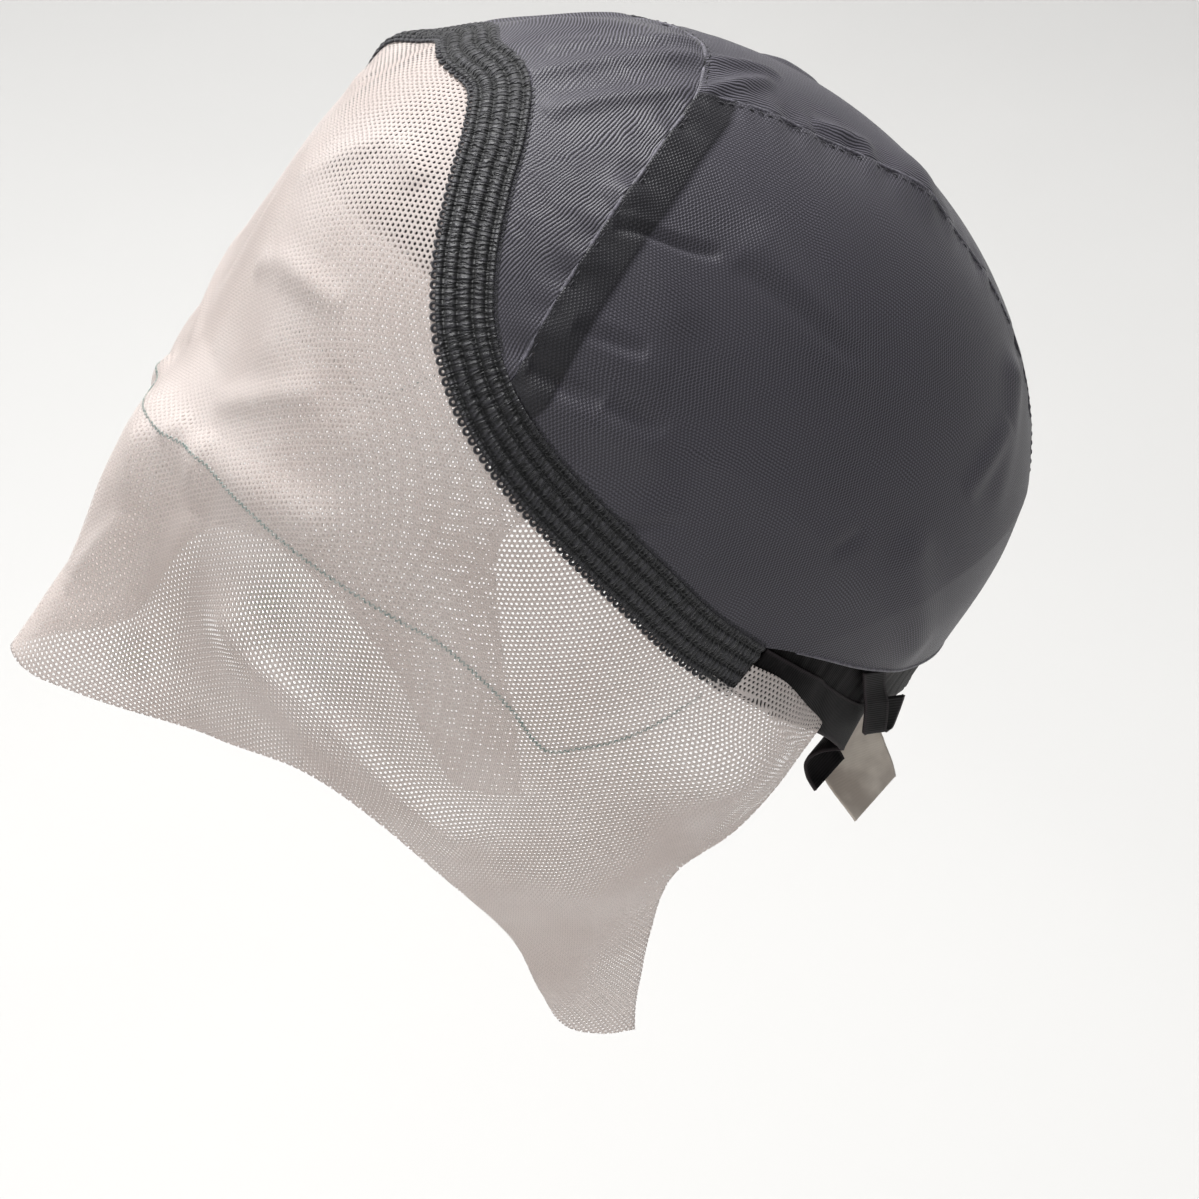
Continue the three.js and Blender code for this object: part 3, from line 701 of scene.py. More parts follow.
def stretch_net(tree, sizes, colours, ribbed):
    """Black nylon stretch net, warp knitted: fine ribs along the grain with rows of small holes
    between them. The rib tops are coloured grey as a painted sheen, and the holes, the hollows and
    the seam allowance near black as painted shade.
    `ribbed` is how far the ribs hide the holes, where the net is drawn sideways."""
    (place,) = add(tree, "UVMap", uv_map="cut_mm")
    pitch = sizes.rib_pitch / MM
    x, y, _ = add(tree, "SeparateXYZ", {0: place})
    drift = patches(tree, place, 14.0, 0.0, 1.2 * pitch)
    (rows,) = add(tree, "Math", {0: y, 1: drift}, operation="ADD")
    rib = stripes(tree, rows, pitch)
    (drawn,) = add(tree, "CombineXYZ", {0: x, 1: rows, 2: 0.0})
    shape = (0.9, math.sqrt(3) / 2, 1)
    (knit,) = add(tree, "VectorMath", {0: drawn, 1: shape}, operation="MULTIPLY")
    away = hole_distance(tree, knit, pitch)
    edges = {"Value": away, "From Min": 0.24, "From Max": 0.56}
    (mesh,) = add(tree, "MapRange", edges, interpolation_type="SMOOTHSTEP")
    pull = patches(tree, place, 30.0, ribbed - 0.15, ribbed + 0.15)
    (knitted,) = add(tree, "Mix", {"Factor": pull, "A": mesh, "B": rib}, data_type="FLOAT")
    # Painted shade: where the seam allowance lies double under the net, its colour is pushed
    # towards the near black.
    under = add(tree, "Attribute", attribute_name="allowance")[FACTOR]
    (bare,) = add(tree, "Math", {0: under, 1: -0.75, 2: 1.0}, operation="MULTIPLY_ADD")
    (share,) = add(tree, "Math", {0: knitted, 1: bare}, operation="MULTIPLY")
    # Painted light: the rib tops take the grey net colour as painted sheen, and the holes and
    # hollows take the near black as painted shade.
    tones = (share, colours.net_hollow, colours.net)
    front = cloth_face(tree, tones, knitted, 0.7, 0.2, feel(0.45, 0.35, 0.15, 0.3))[0]
    (clear,) = add(tree, "BsdfTransparent")
    (solid,) = add(tree, "Math", {0: knitted, 1: 0.1, 2: 0.9}, operation="MULTIPLY_ADD")
    return add(tree, "MixShader", {0: solid, 1: clear, 2: front})[0]


def lace_yarn(tree, sizes, colours):
    """Black stretch lace trim of crimped yarn over elastic cores: knotty crosswise threads between
    lengthwise cords, dull black. Its higher yarn is painted grey as glints, and the grooves between
    the cords are painted darker as shade."""
    (place,) = add(tree, "UVMap", uv_map="cut_mm")
    x, _, _ = add(tree, "SeparateXYZ", {0: place})
    (long,) = add(tree, "VectorMath", {0: place, 1: (1.0, 0.35, 1.0)}, operation="MULTIPLY")
    knots = patches(tree, long, 0.9)
    (along,) = add(tree, "Math", {0: knots, 1: 0.5, 2: x}, operation="MULTIPLY_ADD")
    thread = stripes(tree, along, sizes.band_thread / MM)
    (height,) = add(tree, "Math", {0: thread, 1: knots}, operation="ADD")
    # Painted light: the grooves between the cords are darkened as painted shade, and the higher
    # yarn is painted lighter as glints.
    groove = add(tree, "Attribute", attribute_name="groove")[FACTOR]
    (raised,) = add(tree, "Math", {0: groove, 1: -1.2, 2: height}, operation="MULTIPLY_ADD")
    lit = {"Value": raised, "From Min": 0.3, "From Max": 1.9}
    (share,) = add(tree, "MapRange", lit, interpolation_type="SMOOTHSTEP")
    tones = (share, colours.net_hollow, colours.band)
    return cloth_face(tree, tones, raised, 0.9, 0.4, feel(0.5, 0.5, 0.2, 0.4))[0]


def woven_elastic(tree, colours):
    """Black woven elastic with a satin face: fine crosswise weave, a low sheen, and edges painted
    paler as a highlight.
    """
    (place,) = add(tree, "UVMap", uv_map="cut_mm")
    x, _, _ = add(tree, "SeparateXYZ", {0: place})
    worn = patches(tree, place, 6.0, 0.0, 0.1)
    # Painted highlight: the last half millimetre of each edge is paler, with faint random wear over
    # the whole face.
    edge = add(tree, "Attribute", attribute_name="edge")[FACTOR]
    (pale,) = add(tree, "Math", {0: edge, 1: 0.5, 2: worn}, operation="MULTIPLY_ADD")
    tones = (pale, colours.elastic, colours.elastic_edge_highlight)
    return cloth_face(tree, tones, stripes(tree, x, 0.7), 0.3, 0.2, feel(0.5, 0.07))[0]


def satin(tree, colours):
    """Off-white polyester satin ribbon: fine cross ribs, a pearly shine and faint grubby clouds."""
    (place,) = add(tree, "UVMap", uv_map="cut_mm")
    x, _, _ = add(tree, "SeparateXYZ", {0: place})
    tones = (patches(tree, place, 11.0), colours.label, colours.label_shade)
    return cloth_face(tree, tones, stripes(tree, x, 0.6), 0.15, 0.2, feel(0.4, 0.5, 0.3))[0]


def spun_thread(tree, colour, dark):
    """Spun polyester thread: a matt twisted strand, its colour broken by the twist."""
    place = add(tree, "TexCoord")[OBJECT]
    twist = patches(tree, place, 0.0006, 0.0, 0.6)
    mixed = add(tree, "Mix", {"Factor": twist, "A": colour, "B": dark}, data_type="RGBA")[0]
    return add(tree, "BsdfPrincipled", {"Base Color": mixed, **feel(0.6, 0.4, 0.2)})[0]


def backdrop_paper(tree, colours):
    """Matt backdrop paper, smooth and pale, with a barely seen cloud of tone."""
    place = add(tree, "TexCoord")[OBJECT]
    tone = patches(tree, place, 0.6, 0.97, 1.0)
    paper = {0: tuple(colours.floor), "Scale": tone}
    (colour,) = add(tree, "VectorMath", paper, operation="SCALE")
    return add(tree, "BsdfPrincipled", {"Base Color": colour, "Roughness": 0.9})[0]


# ---- sizes and colours a user would change -----------------------
def length_property(name, description, value):
    more = {"default": value * MM, "unit": "LENGTH", "precision": 5}
    return FloatProperty(name=name, description=description, **more)


def colour_property(name, description, value):
    more = {"default": linear(value), "subtype": "COLOR", "min": 0, "max": 1}
    return FloatVectorProperty(name=name, description=description, **more)


class WigCapSizes(PropertyGroup):
    lace_pitch: length_property("Lace pitch", "Distance between the holes of the lace", 1.2)
    lace_hole: FloatProperty(
        name="Lace hole", description="Radius of a lace hole as a share of the pitch", default=0.3
    )
    lace_wall: length_property("Lace thickness", "Thickness of the lace", 0.35)
    rib_pitch: length_property("Rib pitch", "Distance between the ribs of the stretch net", 0.7)
    net_wall: length_property("Net thickness", "Thickness of the stretch net", 0.5)
    band_wall: length_property("Band thickness", "Thickness of the band without its cords", 0.8)
    band_cord: length_property("Cord height", "Height of the band's lengthwise cords", 0.55)
    band_thread: length_property("Band thread", "Distance between the band's cross threads", 1.0)
    picot_pitch: length_property("Picot pitch", "Distance between the loops on the band", 1.9)
    stitch: length_property("Stitch", "Length of a seam stitch", 1.4)
    stitch_gap: length_property("Stitch gap", "Gap between seam stitches", 1.0)
    binding_wall: length_property("Binding thickness", "Thickness of the nape binding", 0.9)
    strap_wall: length_property("Strap thickness", "Thickness of straps and tabs", 0.7)
    label_wall: length_property("Label thickness", "Thickness of the folded label", 0.6)


class WigCapColours(PropertyGroup):
    lace: colour_property("Lace", "Lace threads in the light", "#F2EAE6")
    lace_shade: colour_property("Lace, shaded", "Lace threads in the duller clouds", "#E9DFDA")
    # The net's grey is a painted sheen on its black ribs; the seam ridges take it as their colour
    # too.
    net: colour_property("Stretch net", "Ribs of the stretch net", "#6B6872")
    # This near black is painted shade in the holes and hollows of the net and the band and on the
    # seam allowance; in the threads it is the dark of the twist.
    net_hollow: colour_property("Net hollows", "Holes and hollows of the black cloths", "#0B0B0D")
    # The band colour is a painted glint on the raised black yarn; the picot loops take it as their
    # thread colour.
    band: colour_property("Band", "Raised yarn of the band", "#38373C")
    elastic: colour_property("Elastic", "Straps, tabs and binding", "#0A090A")
    # This edge colour is a painted highlight along the elastic's edges.
    elastic_edge_highlight: colour_property("Elastic edge", "Worn edge of the elastic", "#4A4446")
    label: colour_property("Label", "Satin label", "#D9CFC2")
    label_shade: colour_property("Label, grubby", "Duller clouds on the label", "#B3A79B")
    guide: colour_property("Hairline guide", "Guide thread in the lace", "#7D918B")
    thread: colour_property("Thread", "Sewing thread of the seams", "#3E3C43")
    floor: colour_property("Floor", "Backdrop paper", "#D8D7D5")


def settings():
    return bpy.context.scene.wig_cap_sizes, bpy.context.scene.wig_cap_colours


# ---- pieces ------------------------------------------------------
# How far the eye stands forward of the wearer's left, and how far the floor is below the cap.
EYE_TURN = math.radians(18)
FLOOR_BELOW = 300


class WIGCAP_OT_stage(Operator):
    """Camera, floor and soft studio lights"""

    bl_idname = "wig_cap.stage"
    bl_label = "Stage"

    def execute(self, context):
        _, colours = settings()
        scene = context.scene
        self.camera(scene)
        self.floor(scene, colours)
        self.light(scene, "key", (-0.62, -0.1, 1.06), (0, 0, -0.1), 0.5, 18)
        self.light(scene, "overhead", (-0.5, -0.2, 1.8), (-0.2, 0, -0.3), 2.0, 30)
        self.light(scene, "fill", (1.2, -0.8, 0.6), (0, 0, -0.12), 0.9, 5)
        world = bpy.data.worlds.new("soft_room")
        world.use_nodes = True
        colour, strength = world.node_tree.nodes["Background"].inputs[:2]
        colour.default_value = (0.97, 0.98, 1.0, 1)
        strength.default_value = 0.3
        scene.world = world
        scene.view_settings.view_transform = "Standard"
        return {"FINISHED"}

    def camera(self, scene):
        """The eye on a sphere about the cap, by its turn and climb, with a slight roll."""
        climb, roll, distance = math.radians(34), math.radians(-0.8), 0.69
        target = (0, 0.011, -0.138)
        forward = Vector((math.cos(EYE_TURN), -math.sin(EYE_TURN), 0))
        back = forward * math.cos(climb) + Vector((0, 0, math.sin(climb)))
        right = Vector((math.sin(EYE_TURN), math.cos(EYE_TURN), 0))
        up = back.cross(right)
        lean_right = right * math.cos(roll) - up * math.sin(roll)
        lean_up = right * math.sin(roll) + up * math.cos(roll)
        camera = bpy.data.objects.new("camera", bpy.data.cameras.new("camera"))
        scene.collection.objects.link(camera)
        basis = Matrix((lean_right, lean_up, back)).transposed().to_4x4()
        camera.matrix_world = Matrix.Translation(Vector(target) + back * distance) @ basis
        camera.data.sensor_width = 36
        camera.data.lens = 88.9
        camera.data.shift_x = 0.0163
        camera.data.shift_y = -0.0129
        camera.data.clip_start = 0.01
        scene.camera = camera

    def floor(self, scene, colours):
        """A sheet of paper under the cap that curves up far behind it, as seen from the camera."""
        lowest = SIZE_AT_LOAD[0][2] / MM - FLOOR_BELOW
        run_rise = [(-2500, 0), (1200, 0), (1500, 40), (1700, 160), (1780, 400), (1800, 2200)]
        path = spline(run_rise)(np.linspace(0, 1, 60))[:, None]
        away = np.array([-math.cos(EYE_TURN), math.sin(EYE_TURN), 0])
        side = np.array([away[1], -away[0], 0])
        points = path[..., :1] * away + np.linspace(-2600, 2600, 9)[:, None] * side
        points[..., 2] += path[..., 1] + lowest
        mesh = bpy.data.meshes.new("floor")
        faces = quads(59, 8)[:, ::-1]
        mesh.from_pydata((points.reshape(-1, 3) * MM).tolist(), [], faces.tolist())
        mesh.shade_smooth()
        floor = bpy.data.objects.new("floor", mesh)
        scene.collection.objects.link(floor)
        coat(floor, "matt_backdrop_paper", backdrop_paper, colours)

    def light(self, scene, name, place, target, size, power):
        """A soft round lamp: place, target and size in metres, power in watts."""
        lamp = bpy.data.lights.new(name, "AREA")
        lamp.shape = "DISK"
        lamp.size = size
        lamp.energy = power
        light = bpy.data.objects.new(name, lamp)
        scene.collection.objects.link(light)
        toward = Vector(target) - Vector(place)
        light.location = place
        light.rotation_euler = toward.to_track_quat("-Z", "Y").to_euler()


class WIGCAP_OT_lace_front(Operator):
    """The wide lace front, from the band over brow, nose, cheeks and ears to the neck"""

    bl_idname = "wig_cap.lace_front"
    bl_label = "Lace front"

    def execute(self, context):
        sizes, colours = settings()
        top, hem = lace_top(), across(LACE_HEM, False)
        side = curve([top(0.0), *LACE_SIDE, hem(0.0)])
        patch = bounded(top, hem, side, mirror(side), 0.2)
        points = on_form(grid(patch, 330, 140), LACE_LIFT, (LACE_CREASES, OVER_STRAP))
        cut, flat, area = flat_cut(points, 5, ((37.6, -65, -69), (60, -37.5, -63)))
        lace = cloth_piece("lace", points, sizes.lace_wall / MM, cut)
        coat(lace, "nylon_tulle_lace", tulle, sizes, colours)
        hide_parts("lace_front")
        return {"FINISHED"}


def nearest(points, line):
    """How far each point is from a line, squared, and where along the line that is."""
    marks = line(np.linspace(0, 1, 240))
    away, along = np.full(points.shape[:-1], 1e9), np.zeros(points.shape[:-1])
    for mark, place in zip(marks, lengths(marks)):
        distance = np.sum((points - mark) ** 2, axis=-1)
        along = np.where(distance < away, place, along)
        away = np.minimum(distance, away)
    return away, along


def seam_allowance(points, line, width):
    """1 within the width of a line and 0 past it, with a sharp but smooth edge."""
    away, _ = nearest(points, line)
    return np.clip((width - np.sqrt(away)) / 0.6 + 0.5, 0, 1)


def puckers(points, line, reach, step):
    """Small gathers beside a seam: a wave along it that dies out with the distance from it."""
    away, along = nearest(points, line)
    turn = along * 2 * math.pi / step
    return (np.sin(turn) + 0.6 * np.sin(turn / 1.7 + 1.3)) * np.exp(-away / reach**2)


# The net's material by how it is drawn: its name, and how far its ribs hide its holes.
RIBBED = ("nylon_stretch_net_ribbed", 0.8)
PLAIN = ("nylon_stretch_net", 0.45)
# How far the gathers reach from a seam, their length along it, and how high the net rises there.
PUCKER_REACH, PUCKER_STEP, SEAM_HEIGHT = 4.5, 8.5, 0.3
ALLOWANCE_WIDTH = 8.5


def net_piece(name, patch, columns, rows, grain, seams, finish, allowance=None):
    """One panel of stretch net: its patch on the form, with creases, seam gathers and its grain."""
    sizes, colours = settings()
    points = on_form(grid(patch, columns, rows), NET_LIFT, (CREASES,))
    gather = sum(puckers(points, line, PUCKER_REACH, PUCKER_STEP) for line in seams)
    # The seam allowance mask lifts the net a little and, in the material, darkens it as painted
    # shade.
    dark = seam_allowance(points, *allowance) if allowance else np.zeros(points.shape[:-1])
    points = points + normals(points) * (SEAM_HEIGHT * (gather + dark))[..., None]
    cut, flat, area = flat_cut(points, 4, grain)
    piece = cloth_piece(name, points, sizes.net_wall / MM, cut, {"allowance": dark})
    cloth, ribbed = finish
    coat(piece, cloth, stretch_net, sizes, colours, ribbed)
    return piece


class WIGCAP_OT_front_strip(Operator):
    """The crescent of stretch net between the band and the crossing seam"""

    bl_idname = "wig_cap.front_strip"
    bl_label = "Front strip"

    def execute(self, context):
        tip = 0.002
        foot = SEAM_FOOT + tip
        patch = ruled(part(seam_line, tip, 1 - tip), part(band_back, foot, 1 - foot))
        grain = ((38.9, -7.8, -17.2), (34.7, 3.7, -13.1))
        piece = net_piece("front_strip_net", patch, 240, 48, grain, [seam_line], RIBBED)
        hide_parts("front_strip")
        return {"FINISHED"}


class WIGCAP_OT_side_panels(Operator):
    """The two side panels of stretch net; along their front edge the seam allowance is painted dark
    as shade
    """

    bl_idname = "wig_cap.side_panels"
    bl_label = "Side panels"

    def execute(self, context):
        nape_edge = curve([*nape_top(np.linspace(NAPE_FOOT, 0.03, 9)), band_back(0.0)])
        crown_edge = curve([*seam_line(np.linspace(SEAM_CROWN, 0.04, 7)), band_back(SEAM_FOOT)])
        outer = part(band_back, 0, SEAM_FOOT)
        patch = bounded(backward(side_seam), outer, nape_edge, crown_edge)
        start, end = (57.5, 22.6, -42.5), (61, 37.7, -55.2)
        for side, surface, sign in (("left", patch, 1), ("right", opposite(patch), -1)):
            grain = [np.array(p) * (sign, 1, 1) for p in (start, end)]
            seams = [side_seam if sign > 0 else mirror(side_seam), seam_line]
            under = (seam_line, ALLOWANCE_WIDTH)
            piece = net_piece(f"side_net_{side}", surface, 200, 132, grain, seams, PLAIN, under)
            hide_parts(f"side_panel_{side}")
        return {"FINISHED"}


class WIGCAP_OT_centre_panel(Operator):
    """The centre panel of stretch net, from the crossing seam over the crown to the nape"""

    bl_idname = "wig_cap.centre_panel"
    bl_label = "Centre panel"

    def execute(self, context):
        nape = part(nape_top, NAPE_FOOT, 1 - NAPE_FOOT)
        crown = part(seam_line, SEAM_CROWN, 1 - SEAM_CROWN)
        edge = backward(side_seam)
        patch = bounded(nape, crown, edge, mirror(edge))
        grain = ((0, 60, -18), (0, 100, -60))
        seams = [side_seam, mirror(side_seam)]
        piece = net_piece("centre_net", patch, 48, 240, grain, seams, RIBBED)
        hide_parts("centre_panel")
        return {"FINISHED"}


# The grooves between the band's cords: their places across it and half their width.
GROOVES, GROOVE_HALF = (-4.3, -1.5, 1.5, 4.3), 0.45
# The knots of its yarn: their height, their distance along a cord and the width of a cord.
KNOT_HEIGHT, KNOT_STEP, CORD_WIDTH = 0.12, 1.9, 2.9
# The loops on its edges: place across, step in picot pitches, ring radius and thread radius.
LOOPS = ((-BAND_WIDTH / 2 - 0.45, 1, 0.64, 0.36), (BAND_WIDTH / 2 + 0.25, 0.75, 0.5, 0.28))


class WIGCAP_OT_stretch_band(Operator):
    """The stretch lace band from ear to ear, with its cords, picot loops and scalloped back edge"""

    bl_idname = "wig_cap.stretch_band"
    bl_label = "Stretch lace band"

    def execute(self, context):
        sizes, colours = settings()
        aside = np.linspace(BAND_WIDTH / 2, -BAND_WIDTH / 2, 29)
        share = np.linspace(0, 1, 761)
        points = on_form(np.stack([beside(band_line, a)(share) for a in aside]), BAND_LIFT)
        walked = lengths(on_form(band_line(share)))
        groove = sum(np.exp(-(((aside - g) / GROOVE_HALF) ** 2)) for g in GROOVES)[:, None]
        cord = (sizes.band_cord / MM) * (1 - groove)
        turn = walked * 2 * math.pi / KNOT_STEP + 2.1 * np.round(aside[:, None] / CORD_WIDTH)
        raised = cord + KNOT_HEIGHT * np.sin(turn)
        points = points + normals(points) * raised[..., None]
        cut, marks = strip_cut(walked, aside), {"groove": groove}
        band = cloth_piece("band_cloth", points, sizes.band_wall / MM, cut, marks)
        coat(band, "crimped_yarn_stretch_lace", lace_yarn, sizes, colours)
        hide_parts("stretch_lace_band")
        loops = self.loops(sizes, walked[-1])
        coat(loops, "crimped_yarn", spun_thread, colours.band, colours.net_hollow)
        return {"FINISHED"}

    def loops(self, sizes, length):
        """Picot rings along the front edge and smaller, closer rings along the back edge."""
        pitch = sizes.picot_pitch / MM
        parts = []
        for aside, step, radius, thread in LOOPS:
            share = np.linspace(0.002, 0.998, int(length / (pitch * step)))
            line = beside(band_line, aside)
            centres = on_form(line(share), BAND_LIFT - 0.1)
            ahead = on_form(line(np.minimum(share + 0.002, 1)), BAND_LIFT - 0.1)
            along = unit(ahead - centres)
            ray = centres * (1, 1, 0)
            ray[:, 2] = np.maximum(centres[:, 2] - CENTRE_Z, 0)
            outward = unit(ray - along * np.sum(ray * along, axis=1, keepdims=True))
            parts.append(rings(centres, along, outward, radius, thread))
        points = np.vstack([p for p, _ in parts])
        faces = np.vstack([parts[0][1], parts[1][1] + len(parts[0][0])])
        return new_piece("band_loops", points, faces)


def edge_mark(aside, width):
    """1 on the last half millimetre of a strip's two edges, 0 between them, one value to a row."""
    return np.clip((np.abs(aside) - width / 2 + 0.8) / 0.5, 0, 1)[:, None]


# The binding's rounded face, and the waves of its gathers: height and length of each.
ROLL_HEIGHT, GATHERS = 0.5, ((0.05, 5.3), (0.03, 3.1))


class WIGCAP_OT_nape_binding(Operator):
    """The elastic binding along the nape, gathered a little"""

    bl_idname = "wig_cap.nape_binding"
    bl_label = "Nape binding"

    def execute(self, context):
        sizes, colours = settings()
        aside = np.linspace(NAPE_WIDTH / 2, -NAPE_WIDTH / 2, 11)
        share = np.linspace(0, 1, 481)
        points = on_form(np.stack([beside(nape_line, -a)(share) for a in aside]), BINDING_LIFT)
        walked = lengths(on_form(nape_line(share)))
        roll = ROLL_HEIGHT * np.sqrt(np.maximum(1 - (aside / (NAPE_WIDTH / 2)) ** 2, 0))
        turn = walked * 2 * math.pi
        gather = sum(height * np.sin(turn / step) for height, step in GATHERS)
        points = points + normals(points) * (roll[:, None] + gather)[..., None]
        cut, marks = strip_cut(walked, aside), {"edge": edge_mark(aside, NAPE_WIDTH)}
        binding = cloth_piece("binding_elastic", points, sizes.binding_wall / MM, cut, marks)
        coat(binding, "woven_satin_elastic", woven_elastic, colours)
        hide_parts("nape_binding")
        return {"FINISHED"}


STRAP = table(
    "at across held",
    ((76.4, 23.5, -112.7), (-0.18, 0.68, 0.71), 1),
    ((75, 31.7, -120.1), (-0.2, 0.66, 0.72), 1),
    ((71, 43, -130.7), (-0.23, 0.66, 0.7), 0.7),
    ((62.6, 54, -143.8), (-0.05, 0.25, 0.97), 0),
    ((58.5, 57, -147.8), (0, 0.2, 0.98), 0),
    ((55.5, 54, -150.5), (-0.05, 0.3, 0.95), 0),
    ((54.5, 51, -154), (-0.3, 0.6, 0.7), 0),
    ((55.5, 51, -157.5), (-0.5, 0.8, 0.35), 0),
    ((57, 52.5, -161), (-0.55, 0.8, 0.2), 0),
)
TAB_ACROSS = (-0.38, 0.83, -0.35)
TAB = table(
    "at across held",
    ((65.9, 57.2, -127.4), TAB_ACROSS, 1),
    ((64.3, 59, -134), TAB_ACROSS, 0.6),
    ((62.6, 60.2, -142), TAB_ACROSS, 0),
    ((61.3, 60.8, -148), TAB_ACROSS, 0),
    ((58.8, 63, -149), TAB_ACROSS, 0),
    ((57, 65.2, -146), TAB_ACROSS, 0),
    ((56.2, 66.6, -142.5), TAB_ACROSS, 0),
)
LABEL = table(
    "at across held",
    ((49, 73, -141), (-0.62, 0.74, -0.3), 1),
    ((47, 67.5, -150.5), (-0.5, 0.8, -0.2), 0.7),
    ((46.5, 61.5, -161), (-0.2, 0.97, 0.02), 0),
    ((53.5, 66, -173.5), (-0.61, 0.79, 0.09), 0),
)


def ribbon(stations, width, lift, columns, rows):
    """A strip carried through stations: its middle line, plus a direction across it times the
    place across the strip. Held stretches are drawn to lie `lift` off the form."""
    middle = curve([s["at"] for s in stations])
    lean = spline([s["across"] for s in stations])
    held = spline([(i, s["held"], 0) for i, s in enumerate(stations)])
    share = np.linspace(0, 1, columns + 1)
    aside = np.linspace(-width / 2, width / 2, rows + 1)
    free = middle(share)[None] + unit(lean(share))[None] * aside[:, None, None]
    weight = np.clip(held(share)[:, 1], 0, 1)[None, :, None]
    return free * (1 - weight) + on_form(free, lift) * weight, aside


def mirrored(stations):
    """The stations of the other side: seen in a mirror and taken in the other order."""
    flip = np.array([-1, 1, 1])
    return [{**s, "at": s["at"] * flip, "across": s["across"] * flip} for s in reversed(stations)]


def strip_piece(name, stations, width, wall, lift, columns, rows):
    """A flat elastic or ribbon strip with its weave along the strip and its edges marked."""
    points, aside = ribbon(stations, width, lift, columns, rows)
    walked = lengths(points[rows // 2])
    edge = edge_mark(aside, width)
    points = points + normals(points) * (0.15 * edge)[..., None]
    piece = cloth_piece(name, points, wall, strip_cut(walked, aside), {"edge": edge})
    return piece, float(walked[-1])


class WIGCAP_OT_straps(Operator):
    """The two elastic straps, folded back with a short tail, and the short tabs beside them"""

    bl_idname = "wig_cap.straps"
    bl_label = "Straps and tabs"

    def execute(self, context):
        sizes, colours = settings()
        wall = sizes.strap_wall / MM
        for side, place in (("left", list), ("right", mirrored)):
            shape = (place(STRAP), STRAP_WIDTH, wall, STRAP_LIFT, 150, 14)
            strap, length = strip_piece(f"strap_elastic_{side}", *shape)
            shape = (place(TAB), TAB_WIDTH, wall, STRAP_LIFT, 80, 10)
            tab, _ = strip_piece(f"tab_elastic_{side}", *shape)
            for piece, node in ((strap, f"strap_{side}"), (tab, f"nape_tab_{side}")):
                coat(piece, "woven_satin_elastic", woven_elastic, colours)
                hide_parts(node)
        return {"FINISHED"}


class WIGCAP_OT_label(Operator):
    """The blank satin label, folded double, hanging at the left of the nape"""

    bl_idname = "wig_cap.label"
    bl_label = "Label"

    def execute(self, context):
        sizes, colours = settings()
        wall = sizes.label_wall / MM
        label, length = strip_piece("satin_label", LABEL, LABEL_WIDTH, wall, LABEL_LIFT, 90, 30)
        coat(label, "polyester_satin_ribbon", satin, colours)
        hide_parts("nape_label")
        return {"FINISHED"}


RIDGE_RADIUS, STITCH_RADIUS = 0.42, 0.15


class WIGCAP_OT_seams(Operator):
    """Seam ridges and running stitches along the seams, and the turned hem over the nape"""

    bl_idname = "wig_cap.seams"
    bl_label = "Seams"

    def execute(self, context):
        sizes, colours = settings()
        length, gap = sizes.stitch / MM, sizes.stitch_gap / MM
        long = [part(line, 0.01, 0.99) for line in (side_seam, mirror(side_seam))]
        hem = part(nape_top, 0.0394, 0.9606)
        share = np.linspace(0, 1, 260)
        piping = np.stack([line(share) for line in (seam_line, *long, hem)])
        points, faces = tubes(on_form(piping, NET_LIFT - 0.15, (CREASES,)), RIDGE_RADIUS, 8)
        ridge = new_piece("seam_ridges", points, faces)
        coat(ridge, "overlocked_seam_edge", spun_thread, colours.net, colours.net_hollow)
        rows = [beside(seam_line, 0.9)]
        rows += [moved(side_seam, 1.4), moved(mirror(side_seam), -1.4)]
        paths = np.concatenate([dashes(row, NET_LIFT + 0.05, length, gap, 0.1) for row in rows])
        points, faces = tubes(paths, STITCH_RADIUS, 6)
        stitches = new_piece("seam_stitches", points, faces)
        coat(stitches, "spun_sewing_thread", spun_thread, colours.thread, colours.net_hollow)
        return {"FINISHED"}


ZIGZAG_WIDTH, ZIGZAG_STEP, GUIDE_RADIUS = 0.35, 1.2, 0.16


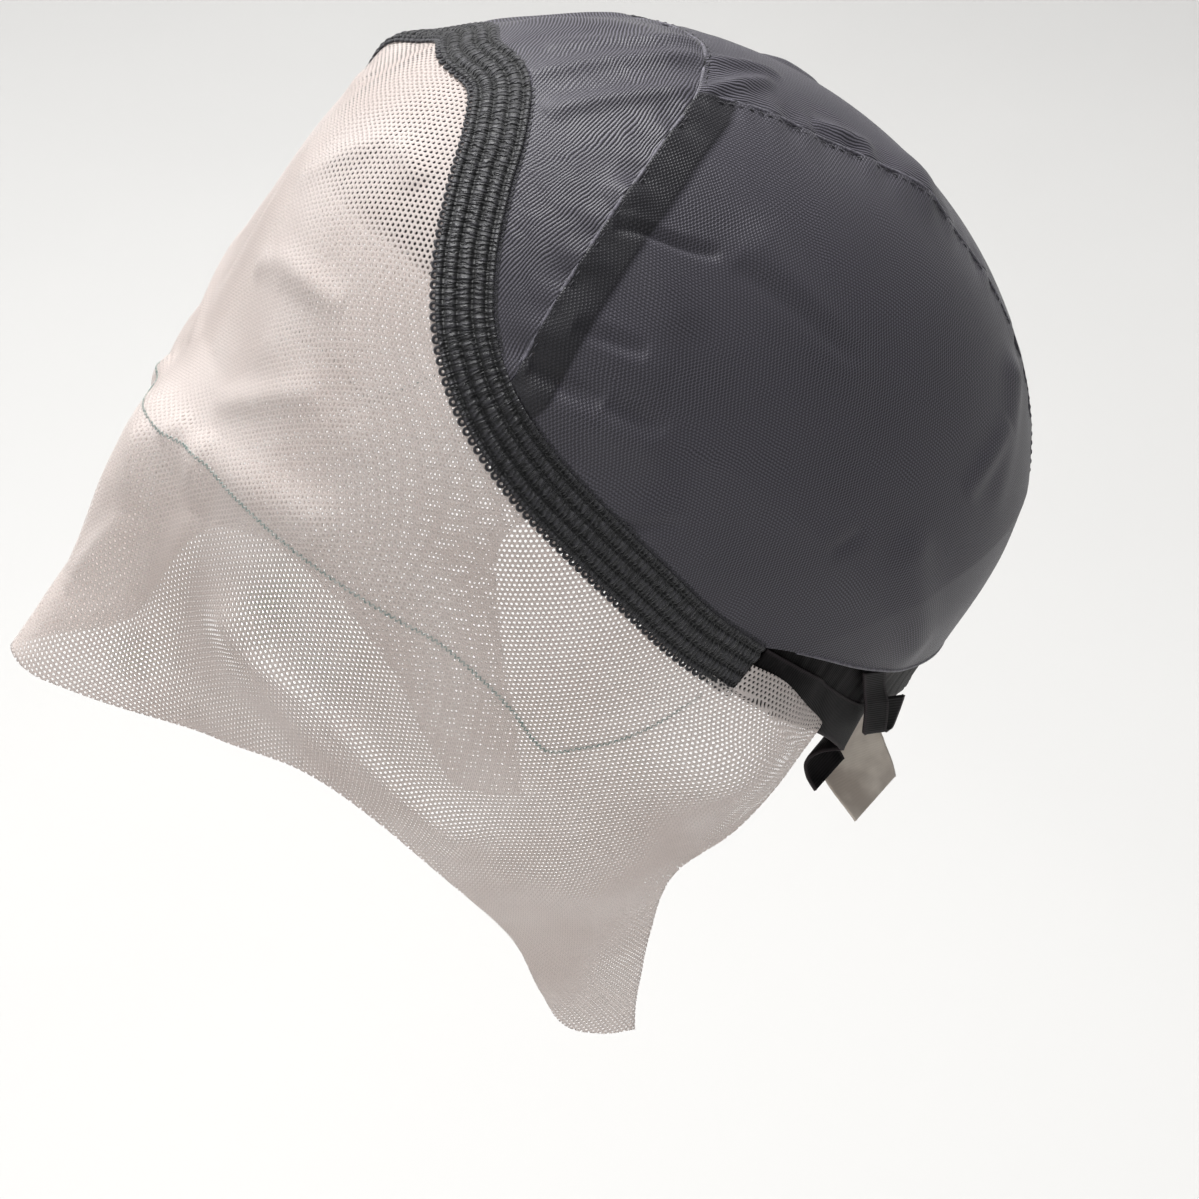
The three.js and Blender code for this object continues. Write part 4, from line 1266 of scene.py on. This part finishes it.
class WIGCAP_OT_hairline(Operator):
    """The guide thread that marks the hairline on the lace"""

    bl_idname = "wig_cap.hairline"
    bl_label = "Hairline guide"

    def execute(self, context):
        _, colours = settings()
        line = across(HAIRLINE, True)
        share = np.linspace(0, 1, 3000)
        walked = lengths(line(share))
        path = on_form(line(share), LACE_LIFT + 0.05, (LACE_CREASES,))
        aside = unit(np.cross(np.gradient(path, axis=0), path - (0, 0, CENTRE_Z)))
        zigzag = ZIGZAG_WIDTH * np.sin(walked * 2 * math.pi / ZIGZAG_STEP)
        points, faces = tubes((path + aside * zigzag[:, None])[None], GUIDE_RADIUS, 6)
        guide = new_piece("hairline_guide", points, faces)
        coat(guide, "dyed_guide_thread", spun_thread, colours.guide, colours.lace)
        return {"FINISHED"}


STEPS = (
    WIGCAP_OT_stage,
    WIGCAP_OT_lace_front,
    WIGCAP_OT_front_strip,
    WIGCAP_OT_side_panels,
    WIGCAP_OT_centre_panel,
    WIGCAP_OT_stretch_band,
    WIGCAP_OT_nape_binding,
    WIGCAP_OT_straps,
    WIGCAP_OT_label,
    WIGCAP_OT_seams,
    WIGCAP_OT_hairline,
)


class WIGCAP_PT_panel(Panel):
    """Sizes, colours and one button for each piece"""

    bl_idname = "WIGCAP_PT_panel"
    bl_label = "Wig cap"
    bl_space_type = "VIEW_3D"
    bl_region_type = "UI"
    bl_category = "Wig cap"

    def draw(self, context):
        for group in (context.scene.wig_cap_sizes, context.scene.wig_cap_colours):
            box = self.layout.box()
            for name in group.__annotations__:
                box.prop(group, name)
        for step in STEPS:
            self.layout.operator(step.bl_idname)


CLASSES = (WigCapSizes, WigCapColours, *STEPS, WIGCAP_PT_panel)


def register():
    for cls in CLASSES:
        bpy.utils.register_class(cls)
    bpy.types.Scene.wig_cap_sizes = PointerProperty(type=WigCapSizes)
    bpy.types.Scene.wig_cap_colours = PointerProperty(type=WigCapColours)


def unregister():
    del bpy.types.Scene.wig_cap_colours
    del bpy.types.Scene.wig_cap_sizes
    for cls in reversed(CLASSES):
        bpy.utils.unregister_class(cls)


def main():
    register()
    for step in STEPS:
        group, name = step.bl_idname.split(".")
        getattr(getattr(bpy.ops, group), name)()


if __name__ == "__main__":
    main()
